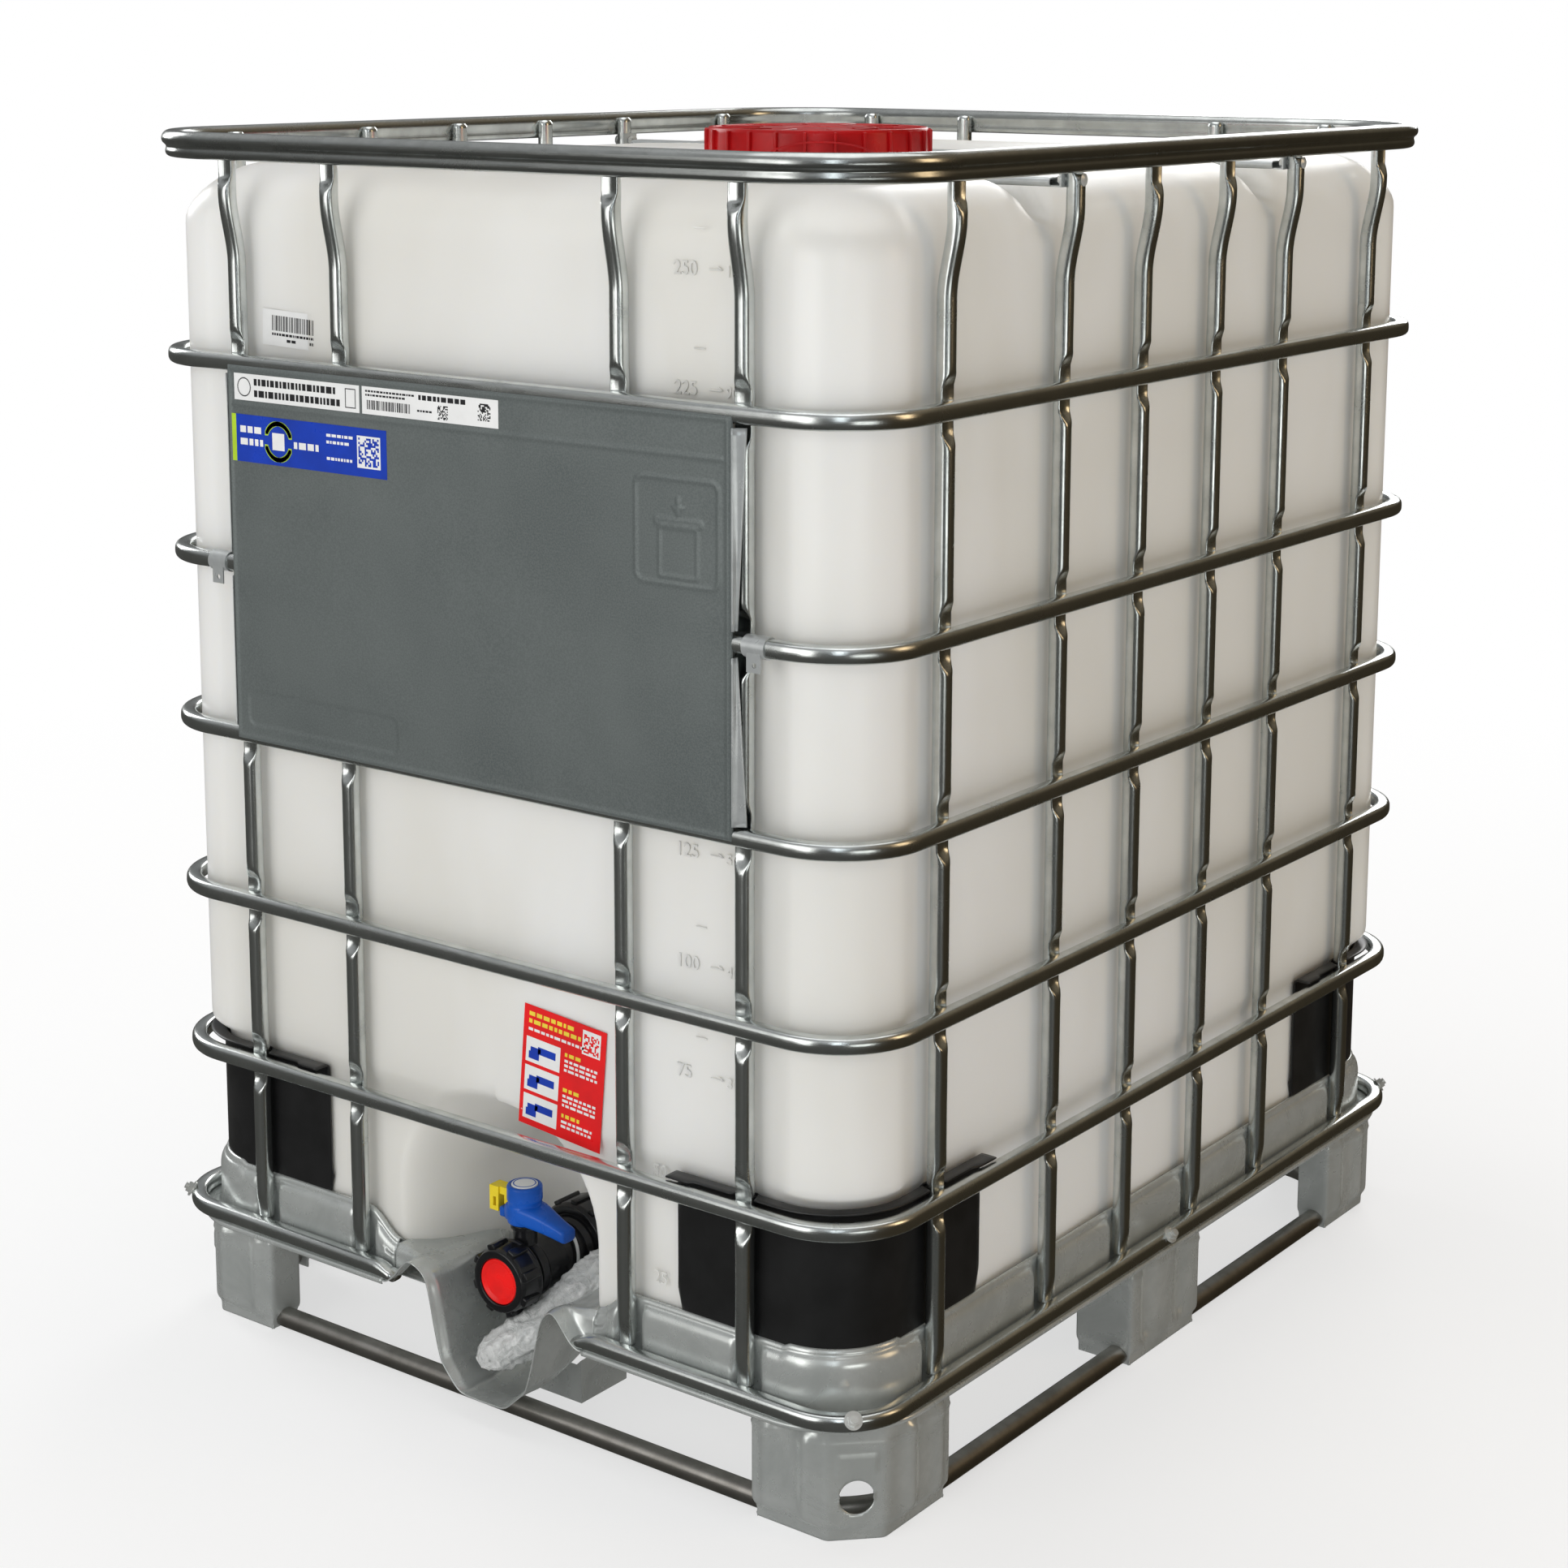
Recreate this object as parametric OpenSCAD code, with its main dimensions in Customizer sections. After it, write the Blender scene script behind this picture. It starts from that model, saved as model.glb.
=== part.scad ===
// Intermediate bulk container: a plastic bottle in a welded tube cage on a steel pallet.
// Millimetres. Z up from the ground, the discharge valve on the -Y side, origin under the centre.

/* [Cage] */
// Outside width of the top rim
cage_w = 1000; // [980:5:1010]
// Outside depth of the top rim, valve side to back
cage_d = 1200; // [1190:5:1210]
// Height of the top of the rim above the ground
rim_top = 1335; // [1330:1:1345]
// Outside diameter of the cage tubes
tube_d = 18; // [17:0.5:18]
// Wall of the cage tubes
tube_wall = 1; // [1:0.1:1.6]
// Distance from the rim's outside to the ring centre line
ring_inset = 22; // [21:0.5:23]
// Distance from the ring centre line to the upright centre line
upright_inset = 9.5; // [9.5:0.1:9.8]
// Outer corner radius of the top rim
rim_bend = 140; // [120:5:150]
// Centre line radius of the ring corners
ring_bend = 86; // [80:2:90]

/* [Bottle] */
// Half width of the bottle's flat sides
bottle_a = 455; // [454:0.5:456]
// Half depth of the bottle's flat sides
bottle_b = 554; // [553:0.5:555]
// Height of the bottle's flat top
bottle_top = 1300; // [1298:1:1302]
// Wall of the bottle
bottle_wall = 2.4; // [2:0.2:3]
// Outer radius of the fill neck
neck_r = 112; // [110:0.5:113]
// Outer radius of the fill cap without its ribs
cap_r = 125; // [124:0.5:126]

/* [Valve] */
// Height of the outlet axis above the ground
valve_z = 150; // [148:1:152]
// Front face of the outlet cap
outlet_y = -556; // [-558:1:-554]
// Radius of the outlet bore
bore_r = 25; // [24:0.5:25.5]
// Height of the valve's turning stem above the ground, at the top of the lever hub
hub_top = 245; // [243:1:247]

/* [Label plate] */
// Half width of the label plate
plate_a = 337; // [335:1:338]
// Sheet thickness of the label plate
plate_t = 0.8; // [0.6:0.1:1]

/* [Pallet] */
// Height of the pallet's flange, which the bottom ring lies on
flange_z = 124.7; // [124:0.1:125]
// Sheet thickness of the pan
pan_t = 1.2; // [1:0.1:1.5]
// Outside face of the feet from the centre, sideways
foot_a = 474; // [472:1:475]
// Outside face of the feet from the centre, front and back
foot_b = 562; // [560:1:563]
// Outside diameter of the runner tube on the ground
runner_d = 22; // [20:0.5:22]

/* [Hidden] */
$fn = 48;

tube_r = tube_d / 2;
ring_a = cage_w / 2 - ring_inset + 0.5;
ring_b = cage_d / 2 - ring_inset - 0.5;
// Ring centre heights, from the top ring down to the lowest full ring
ring_z = [1095, 880.5, 695, 508, 322.5];
bottom_ring_z = flange_z + tube_r;
bottom_bend = 70;
upright_a = ring_a - upright_inset;
upright_b = ring_b - upright_inset;
front_x = [-337, -187, 187, 337];
side_y = [-434, -228.5, -77, 77, 228.5, 434];
upright_foot = bottom_ring_z + tube_r;

// Top rim: a rolled section with a large upper and a small lower bulge
rim_r = 9.5;
rim_low_r = 7;
rim_a = cage_w / 2 - rim_r;
rim_b = cage_d / 2 - rim_r;
rim_foot = rim_top - 29;
rim_wall = 1.2;

// The uprights lean out below the rim and end behind it, against its inner face
lean_start = 1207;
lean_top = 1264;
neck_a = rim_a - 11;
upright_top = rim_top - 7;
lean_out = neck_a - upright_a;
// Swelling of the tube at its bends
knuckle = 0.3;

crossbar_y = 228.5;
crossbar_z = 1296;
crossbar_w = 25;
crossbar_h = 9;
tab_x = neck_a - tube_r - 0.2;
bar_end = tab_x - 14;
bolt_z = 1299;
bolt_r = 4;

low_a = bottle_a - 4;
low_b = bottle_b - 4;
corner_a = bottle_a + 11;
corner_b = bottle_b + 11;
belly_z = 338;
shoulder_z = 1236;
bottle_foot = 127;
recess_r = 118;
recess_z = 218;
recess_back = -386;
outlet_neck = -426;
neck_top = 1328;

stem_y = -512;
stem_r = 6;
stem_gap = 0.05;
hub_r = 19;
union_front = -440;
plate_y = -(ring_b + tube_r) - 0.2;
plate_top = ring_z[0];
plate_foot = ring_z[2] - 4;
sheet_y = plate_y - plate_t;
protector_t = 3;
protector_foot = 160;
protector_top = ring_z[4] + tube_r + 0.5;
wall_a = low_a + protector_t + 1.5;
wall_b = low_b + protector_t + 1.5;
foot_cut = 44;
foot_l = 136;
foot_w = 152;
foot_t = 1.6;
foot_top = flange_z - pan_t;
runner_a = 455;
runner_b = 541;
runner_bend = 120;
mid_foot_y = 18;
mid_foot_half = 75;

// --- shared shapes ---

module rounded(a, b, r) {
    union() {
        square([2 * (a - r), 2 * b], center = true);
        square([2 * a, 2 * (b - r)], center = true);
        for (i = [-1, 1], j = [-1, 1]) translate([i * (a - r), j * (b - r)]) circle(r);
    }
}

module slab(a, b, r, z, h) {
    translate([0, 0, z]) linear_extrude(h) rounded(a, b, r);
}

// Carries a profile, drawn as outward distance and height, round a rounded rectangle
module frame_sweep(a, b, bend) {
    for (s = [0, 180]) {
        rotate([0, 0, s]) translate([a, b - bend, 0]) rotate([90, 0, 0])
            linear_extrude(2 * (b - bend)) children();
        rotate([0, 0, s + 90]) translate([b, a - bend, 0]) rotate([90, 0, 0])
            linear_extrude(2 * (a - bend)) children();
    }
    for (i = [0, 1, 2, 3]) {
        px = (i == 0 || i == 3) ? a - bend : bend - a;
        py = (i < 2) ? b - bend : bend - b;
        translate([px, py, 0]) rotate([0, 0, 90 * i]) rotate_extrude(angle = 90)
            translate([bend, 0]) children();
    }
}

module tube_frame(a, b, bend, r, wall, z) {
    translate([0, 0, z]) difference() {
        frame_sweep(a, b, bend) circle(r);
        frame_sweep(a, b, bend) circle(r - wall);
    }
}

module box(x0, x1, y0, y1, z0, z1) {
    translate([x0, y0, z0]) cube([x1 - x0, y1 - y0, z1 - z0]);
}

// A cylinder along Y from y0 to y1 on the outlet axis
module along_y(r, y0, y1, z = valve_z) {
    translate([0, y0, z]) rotate([-90, 0, 0]) cylinder(r = r, h = y1 - y0);
}

// --- cage ---

module rim_section(t) {
    union() {
        translate([0, rim_top - rim_r]) circle(rim_r - t);
        translate([-1, rim_foot + rim_low_r]) circle(rim_low_r - t);
        translate([-5 + t, rim_foot + rim_low_r]) square([9 - 2 * t, 12]);
    }
}

module top_rim() {
    color("silver") difference() {
        frame_sweep(rim_a, rim_b, rim_bend - rim_r) rim_section(0);
        frame_sweep(rim_a, rim_b, rim_bend - rim_r) rim_section(rim_wall);
    }
}

module ring(i) {
    color("lightgray") tube_frame(ring_a, ring_b, ring_bend, tube_r, tube_wall, ring_z[i]);
}

// The bottom ring is open in front, where its ends lie either side of the valve chute
module bottom_ring() {
    color("lightgray") difference() {
        tube_frame(ring_a, ring_b, bottom_bend, tube_r, tube_wall, bottom_ring_z);
        box(-122, 122, -ring_b - 20, -ring_b + 20, bottom_ring_z - 20, bottom_ring_z + 20);
    }
}

// One upright, standing at the origin and leaning out along +X, with its bends as knuckles
module upright_path(r, knuckle) {
    $fn = 32;
    lean_len = norm([lean_out, lean_top - lean_start]);
    lean_angle = atan2(lean_out, lean_top - lean_start);
    translate([0, 0, upright_foot]) cylinder(r = r, h = lean_start - upright_foot);
    translate([0, 0, lean_start]) rotate([0, lean_angle, 0]) cylinder(r = r, h = lean_len);
    translate([lean_out, 0, lean_top]) cylinder(r = r, h = upright_top - lean_top);
    for (p = [[0, 0, lean_start], [lean_out, 0, lean_top]]) translate(p) sphere(r + knuckle);
}

// Each crossing is pressed in, so that the ring lies half inside the upright's outline. The top
// is pressed to the rim in the same way: rim_reach is from the upright to the middle of the rim
module upright(bolted, rim_reach) {
    difference() {
        upright_path(tube_r, knuckle);
        upright_path(tube_r - tube_wall, knuckle);
        for (z = ring_z) translate([upright_inset, -20, z]) rotate([-90, 0, 0])
            cylinder(r = tube_r + 0.05, h = 40, $fn = 32);
        translate([rim_reach, 20, 0]) rotate([90, 0, 0]) linear_extrude(40) rim_section(-0.05);
        if (bolted) translate([lean_out - 20, 0, bolt_z]) rotate([0, 90, 0])
            cylinder(r = bolt_r + 0.2, h = 40);
    }
}

module end_uprights(side) {
    color("gainsboro") for (x = front_x) translate([x, side * upright_b, 0])
        rotate([0, 0, 90 * side]) upright(false, rim_b - upright_b);
}

module side_uprights(side) {
    color("gainsboro") for (y = side_y) translate([side * upright_a, y, 0])
        rotate([0, 0, side > 0 ? 0 : 180])
            upright(abs(abs(y) - crossbar_y) < 1, rim_a - upright_a);
}

// A tube pressed flat over the bottle, with its ends turned up against the uprights
module crossbar(side) {
    floor_t = 1.4;
    tab_t = 2;
    tab_top = bolt_z + 9;
    low = crossbar_z - crossbar_h / 2;
    color("silver") translate([0, side * crossbar_y, 0]) {
        translate([-bar_end, 0, crossbar_z]) rotate([0, 90, 0]) rotate([0, 0, 90])
            linear_extrude(2 * bar_end) difference() {
                crossbar_section(0);
                crossbar_section(floor_t);
            }
        for (s = [0, 180]) rotate([0, 0, s]) difference() {
            union() {
                box(bar_end - 1, tab_x, -crossbar_w / 2 + 3, crossbar_w / 2 - 3, low, low + floor_t);
                box(tab_x - tab_t, tab_x, -crossbar_w / 2, crossbar_w / 2, low, tab_top);
            }
            translate([tab_x - 6, 0, bolt_z]) rotate([0, 90, 0]) cylinder(r = bolt_r + 0.2, h = 9);
        }
    }
}

module crossbar_section(t) {
    reach = (crossbar_w - crossbar_h) / 2;
    union() {
        square([2 * reach, crossbar_h - 2 * t], center = true);
        for (s = [-1, 1]) translate([s * reach, 0]) circle(crossbar_h / 2 - t);
    }
}

module crossbar_bolts() {
    head_x = neck_a + tube_r;
    color("white") for (i = [0, 180], j = [-1, 1]) translate([0, j * crossbar_y, bolt_z])
        rotate([0, 0, i]) rotate([0, 90, 0]) {
            translate([0, 0, tab_x - 9]) cylinder(r = bolt_r, h = head_x - tab_x + 9.5);
            translate([0, 0, head_x + 0.2]) cylinder(r1 = 6.4, r2 = 3, h = 1.9, $fn = 32);
            translate([0, 0, tab_x - 9]) cylinder(r = 5.8, h = 6.5, $fn = 6);
        }
}

// --- label plate and its sleeves ---

module label_plate() {
    lip = 9;
    notch = tube_r + 3.4;
    color("slategray") difference() {
        union() {
            box(-plate_a, plate_a, sheet_y, plate_y, plate_foot, plate_top);
            for (s = [-1, 1]) box(s > 0 ? plate_a - plate_t : -plate_a, s > 0 ? plate_a : plate_t - plate_a,
                sheet_y, plate_y + lip, plate_foot + 16, plate_top - 12);
            // bead across the lower part of the head strip
            translate([-plate_a + 6, sheet_y + 0.2, 1054]) rotate([0, 90, 0])
                cylinder(r = 1.1, h = 2 * plate_a - 12);
        }
        for (s = [-1, 1]) box(s * plate_a - 3, s * plate_a + 3, plate_y, plate_y + 20,
            ring_z[1] - notch, ring_z[1] + notch);
    }
}

module plate_sleeves() {
    sleeve_r = tube_r + 0.3;
    color("silver") for (s = [-1, 1]) translate([s * 361, 0, 0]) difference() {
        union() {
            translate([-13, -ring_b, ring_z[1]]) rotate([0, 90, 0]) cylinder(r = sleeve_r + 1.6, h = 26);
            box(-7, 9, -ring_b - 10, -ring_b - 8.4, ring_z[1] - 23, ring_z[1]);
        }
        translate([-14, -ring_b, ring_z[1]]) rotate([0, 90, 0]) cylinder(r = sleeve_r, h = 28);
        translate([2, -ring_b - 20, ring_z[1] - 16]) rotate([-90, 0, 0]) cylinder(r = 2.5, h = 30);
    }
}

module plate_labels() {
    color("white") {
        box(-325, -141, sheet_y - 0.3, sheet_y, 1058, 1086);
        box(-137, 49, sheet_y - 0.3, sheet_y, 1058, 1086);
    }
}

module service_label() {
    color("royalblue") box(-331, -104, sheet_y - 0.3, sheet_y, 993, 1043);
}

module barcode_label() {
    color("white") translate([-265, -bottle_b, 1131]) rotate([0, 2, 0]) box(-50, 50, -0.4, 0, -19, 19);
}

module valve_label() {
    color("crimson") translate([92, -bottle_b, 395]) rotate([0, 5, 0]) box(-55, 55, -0.4, 0, -65, 65);
}

// --- bottle ---

// Cross section at the belly: flat sides, with the four corners standing further out
module belly_outline(t) {
    rounded(bottle_a - t, bottle_b - t, 74);
    intersection() {
        rounded(corner_a - t, corner_b - t, 82);
        for (i = [-1, 1], j = [-1, 1]) translate([i * (500 + 356 + t), j * (500 + 452 + t)])
            square(1000, center = true);
    }
}

// The rounded top, or the bottom, as a stack of ever smaller outlines
module cushion(a, b, r, z0, z1, edge, t) {
    dir = z1 > z0 ? 1 : -1;
    $fn = 32;
    hull() {
        slab(a - t, b - t, r, min(z0, z0 - dir), 1);
        for (q = [0:18:90]) {
            inset = t + (edge - t) * (1 - cos(q));
            rise = t + (edge - t) * (1 - sin(q));
            slab(a - inset, b - inset, r - inset * 0.4, z1 - dir * rise - 0.5, 0.5);
        }
    }
}

module bottle_block(t) {
    translate([0, 0, belly_z + t]) linear_extrude(shoulder_z - belly_z - 2 * t) belly_outline(t);
    cushion(bottle_a, bottle_b, 74, shoulder_z - t - 1, bottle_top, 60, t);
    translate([0, 0, 200]) linear_extrude(belly_z + t - 199) rounded(low_a - t, low_b - t, 74);
    cushion(low_a, low_b, 74, 201, bottle_foot, 36, t);
}

module valve_recess(t) {
    along_y(recess_r + t, -620, recess_back + t, recess_z);
    box(-recess_r - t, recess_r + t, -620, recess_back + t, 90, recess_z);
}

module bar_grooves(t) {
    half = crossbar_w / 2 + 3 + t;
    for (s = [-1, 1]) box(-520, 520, s * crossbar_y - half, s * crossbar_y + half,
        crossbar_z - crossbar_h / 2 - 1 - t, bottle_top + 10);
}

module inner_bottle() {
    w = bottle_wall;
    color("ivory") difference() {
        union() {
            difference() {
                bottle_block(0);
                valve_recess(0);
                bar_grooves(0);
            }
            translate([0, 0, bottle_top - 5]) cylinder(r = neck_r, h = neck_top - bottle_top + 5);
            along_y(38, outlet_neck, recess_back + 1);
        }
        difference() {
            bottle_block(w);
            valve_recess(w);
            bar_grooves(w);
        }
        translate([0, 0, bottle_top - 20]) cylinder(r = neck_r - 5, h = 60);
        along_y(bore_r, -440, recess_back + 10);
    }
}

// --- fill cap ---

module fill_cap() {
    skirt_foot = bottle_top + 3;
    lid_z = neck_top + 3;
    color("red") {
        difference() {
            union() {
                translate([0, 0, skirt_foot]) cylinder(r = cap_r, h = lid_z + 2 - skirt_foot);
                for (q = [0:20:340]) rotate([0, 0, q])
                    box(cap_r - 1, cap_r + 4, -2.5, 2.5, skirt_foot, lid_z - 1);
            }
            translate([0, 0, skirt_foot - 1]) cylinder(r = cap_r - 5, h = lid_z - skirt_foot + 1);
            translate([0, 0, lid_z + 0.8]) cylinder(r = cap_r - 9, h = 5);
            translate([62, 0, lid_z - 1]) cylinder(r = 18.2, h = 8);
        }
        for (q = [30:60:330]) rotate([0, 0, q]) box(46, cap_r - 12, -1.5, 1.5, lid_z + 0.7, lid_z + 2);
    }
}

module fill_cap_gasket() {
    color("dimgray") translate([0, 0, neck_top + 0.2]) difference() {
        cylinder(r = neck_r - 0.5, h = 2.6);
        translate([0, 0, -1]) cylinder(r = neck_r - 9, h = 5);
    }
}

module vent_plug() {
    color("firebrick") translate([62, 0, neck_top + 0.6]) difference() {
        union() {
            cylinder(r = 18, h = 4.4);
            translate([0, 0, -14]) cylinder(r = 15, h = 14.5);
        }
        translate([0, 0, 2.2]) cylinder(r = 15, h = 3, $fn = 6);
        translate([0, 0, -15]) cylinder(r = 12.5, h = 14);
    }
}

// A loose strap bowed over the front of the cap's skirt
module cap_seal_strap() {
    color("orangered") rotate([0, 0, -52]) translate([cap_r + 4.6, 0, bottle_top + 2]) rotate([90, 0, 90])
        difference() {
            scale([1, 0.32]) linear_extrude(1.2) circle(62);
            translate([0, 0, -1]) scale([1, 0.3]) linear_extrude(4) circle(59);
            translate([-70, -70, -1]) cube([140, 70, 4]);
        }
}

// --- discharge valve ---

module valve_body() {
    color("black") difference() {
        union() {
            along_y(29.6, outlet_y + 4.5, -519);
            along_y(32.5, -519, -478);
            along_y(30, -480, union_front + 8);
            along_y(36, union_front + 8, union_front + 11.8);
            translate([0, stem_y, valve_z]) cylinder(r = 13, h = 52);
        }
        along_y(bore_r, outlet_y - 1, union_front + 20);
        translate([0, stem_y, valve_z]) cylinder(r = stem_r + stem_gap, h = 60);
        translate([0, stem_y, valve_z - 29]) cylinder(r = stem_r + stem_gap, h = 20);
    }
}

module valve_gasket() {
    color("dimgray") difference() {
        along_y(35, union_front + 11.9, outlet_neck - 0.1);
        along_y(bore_r + 1, union_front, -420);
    }
}

module valve_union_nut() {
    back = -398;
    color("black") difference() {
        union() {
            along_y(47, union_front, back);
            for (q = [0:30:330]) translate([0, union_front + 3, valve_z]) rotate([-90, 0, 0])
                rotate([0, 0, q]) translate([45, -4, 0]) cube([5.5, 8, back - union_front - 3]);
        }
        along_y(38.3, union_front + 7.9, back + 1);
        along_y(30.2, union_front - 1, union_front + 9);
    }
}

// Stem and shut-off disc: the disc stands across the bore when the lever lies sideways
module valve_disc_stem() {
    color("gray") {
        translate([0, stem_y, valve_z - 28]) cylinder(r = stem_r, h = 10);
        difference() {
            along_y(bore_r - 0.6, stem_y - 2.5, stem_y + 2.5);
            translate([0, stem_y - 5, valve_z]) rotate([-90, 0, 0]) cylinder(r = 4, h = 1);
        }
        translate([0, stem_y, valve_z - 19]) cylinder(r = 4.5, h = 38);
        translate([0, stem_y, valve_z + 18]) cylinder(r = stem_r, h = 54);
    }
}

module valve_handle() {
    arm_z = 196;
    color("mediumblue") difference() {
        union() {
            translate([0, stem_y, 204]) cylinder(r = hub_r, h = hub_top - 204);
            hull() {
                translate([-14, stem_y, 203]) cylinder(r = 15, h = 14, $fn = 32);
                translate([8, stem_y, 203]) cylinder(r = 15, h = 14, $fn = 32);
            }
            hull() {
                translate([4, stem_y, 203]) cylinder(r = 15, h = 16, $fn = 32);
                translate([54, stem_y - 8, arm_z]) cube([8, 16, 13]);
            }
        }
        translate([0, stem_y, 190]) cylinder(r = stem_r, h = 32);
        translate([0, stem_y, 190]) cylinder(r = 13.4, h = 13.4);
        translate([0, stem_y, hub_top - 1.2]) cylinder(r = 14.6, h = 3);
        // slot for the safety clip, open at the top
        translate([-40, stem_y - 6.2, 218]) cube([24.2, 12.4, hub_top - 217]);
    }
}

module handle_cap_disc() {
    color("whitesmoke") translate([0, stem_y, hub_top - 1.1]) cylinder(r = 14.4, h = 2);
}

module safety_clip() {
    color("gold") translate([0, stem_y, 0]) difference() {
        union() {
            box(-24, -16.2, -5.9, 5.9, 218.5, 236);
            box(-43, -30.5, -8, 8, 209, 236);
            box(-31, -23, -5.9, 5.9, 228, 236);
        }
        box(-38, -34, -9, 9, 214, 224);
    }
}

module outlet_cap_nut() {
    foot = -526;
    color("black") difference() {
        union() {
            along_y(36.5, outlet_y, foot);
            for (q = [0:45:315]) translate([0, outlet_y + 3, valve_z]) rotate([-90, 0, 0])
                rotate([0, 0, q + 20]) translate([35, -5, 0]) cube([5, 10, foot - outlet_y - 6]);
        }
        along_y(30, outlet_y + 3.5, foot + 1);
        along_y(25, outlet_y - 1, outlet_y + 4);
    }
}

module outlet_cap_disc() {
    color("red") {
        along_y(24.6, outlet_y + 0.8, outlet_y + 3.6);
        along_y(29.4, outlet_y + 3.6, outlet_y + 4.2);
    }
}

module outlet_gasket() {
    color("dimgray") difference() {
        along_y(29, outlet_y + 4.2, outlet_y + 4.5);
        along_y(24, outlet_y + 4, outlet_y + 6);
    }
}

module valve_tie() {
    color("white") difference() {
        along_y(34, -470, -466.5);
        along_y(30.2, -471, -465);
    }
}

// A folded plastic bag that hangs beside the valve and lies down into the chute
module protective_bag() {
    lobes = [[60, -462, 142, 17], [48, -484, 116, 19], [26, -510, 92, 20], [2, -538, 76, 24], [-8, -562, 66, 20]];
    color("lightcyan") for (k = [0:3]) hull() {
        translate([lobes[k][0], lobes[k][1], lobes[k][2]]) sphere(lobes[k][3], $fn = 16);
        translate([lobes[k + 1][0], lobes[k + 1][1], lobes[k + 1][2]]) sphere(lobes[k + 1][3], $fn = 16);
    }
}

// --- corner protectors ---

// A black plastic angle round one bottle corner, hooked over the lowest full ring
module protector(i, j) {
    out_a = low_a + 0.4 + protector_t;
    out_b = low_b + 0.4 + protector_t;
    edge_x = 244;
    edge_y = 338;
    lip_a = ring_a + 2;
    lip_b = ring_b + 2;
    color("#202020") {
        difference() {
            slab(out_a, out_b, 74 + protector_t, protector_foot, protector_top - protector_foot);
            slab(out_a - protector_t, out_b - protector_t, 74, protector_foot - 1, 400);
            protector_trim(i, j, edge_x, edge_y);
        }
        difference() {
            slab(lip_a, lip_b, 90, protector_top, 3);
            slab(out_a - protector_t, out_b - protector_t, 74, protector_top - 1, 6);
            protector_trim(i, j, edge_x, edge_y);
            for (x = front_x) box(x - 11, x + 11, -600, 600, protector_top - 2, protector_top + 6);
            for (y = side_y) box(-500, 500, y - 11, y + 11, protector_top - 2, protector_top + 6);
        }
    }
}

// Everything but the corner on side i, end j
module protector_trim(i, j, edge_x, edge_y) {
    translate([i > 0 ? -700 : -edge_x, -700, 0]) cube([700 + edge_x, 1400, 500]);
    translate([-700, j > 0 ? -700 : -edge_y, 0]) cube([1400, 700 + edge_y, 500]);
}

// --- pallet ---

// Upright wall of the pan, its top lip and the pressed panels that stand out between uprights
module pan_wall() {
    wall_top = 184;
    bulge = 10.8;
    frame_sweep(wall_a, wall_b, 78) translate([0, flange_z - 1]) square([pan_t, wall_top - flange_z + 1]);
    difference() {
        frame_sweep(wall_a, wall_b, 78) polygon([
            [pan_t, wall_top], [4, wall_top], [bulge, wall_top - 18], [bulge, flange_z - 1],
            [bulge - pan_t, flange_z - 1], [bulge - pan_t, wall_top - 18.3], [3, wall_top - pan_t],
            [pan_t, wall_top - pan_t]
        ]);
        for (x = front_x) for (s = [-1, 1]) box(x - 13, x + 13, min(s * (wall_b + pan_t), s * 620),
            max(s * (wall_b + pan_t), s * 620), flange_z, 200);
        for (y = side_y) for (s = [-1, 1]) box(min(s * (wall_a + pan_t), s * 520),
            max(s * (wall_a + pan_t), s * 520), y - 13, y + 13, flange_z, 200);
    }
}

// The chute under the valve: a V pressed down from the deck to the front runner
module chute_space(t, run) {
    low = runner_d + pan_t + 0.3 - t;
    hull() {
        translate([0, -520 + t, 0]) rotate([90, 0, 0]) linear_extrude(run) polygon([
            [-22 - t, low], [22 + t, low], [50 + t, 56 - t], [68 + t, 140], [100 + t, 200],
            [-100 - t, 200], [-68 - t, 140], [-50 - t, 56 - t]
        ]);
        box(-90 - t, 90 + t, recess_back + t, recess_back + 1 + t, 92 - t, 200);
    }
}

module deck_pan() {
    flange_a = ring_a + tube_r - 0.5;
    flange_b = ring_b + tube_r - 0.5;
    color("darkseagreen") {
        difference() {
            union() {
                slab(flange_a, flange_b, 78, flange_z - pan_t, pan_t);
                pan_wall();
            }
            chute_space(pan_t, 90);
            box(-104, 104, -620, -wall_b + 20, flange_z, 210);
            translate([-104, -512, 100]) cylinder(r = 4, h = 40);
        }
        difference() {
            chute_space(pan_t, 64);
            chute_space(0, 90);
            box(-150, 150, -640, -wall_b + 20, 147, 220);
            box(-150, 150, -wall_b + 19, -380, flange_z, 220);
            translate([0, -runner_b, 0]) cylinder(r = 4.2, h = 60);
        }
    }
}

// Plan of a corner foot on the +X, +Y side, drawn t inside its outer faces
module foot_plan(t) {
    difference() {
        polygon([
            [foot_a - foot_l + t, foot_b - foot_w + t], [foot_a - t, foot_b - foot_w + t],
            [foot_a - t, foot_b - foot_cut - t * 0.4], [foot_a - foot_cut - t * 0.4, foot_b - t],
            [foot_a - foot_l + t, foot_b - t]
        ]);
        for (x = [foot_a - 106, foot_a - foot_cut - 6]) translate([x, foot_b + 3]) circle(8 + t);
        for (y = [foot_b - 116, foot_b - foot_cut - 6]) translate([foot_a + 3, y]) circle(8 + t);
    }
}

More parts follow.
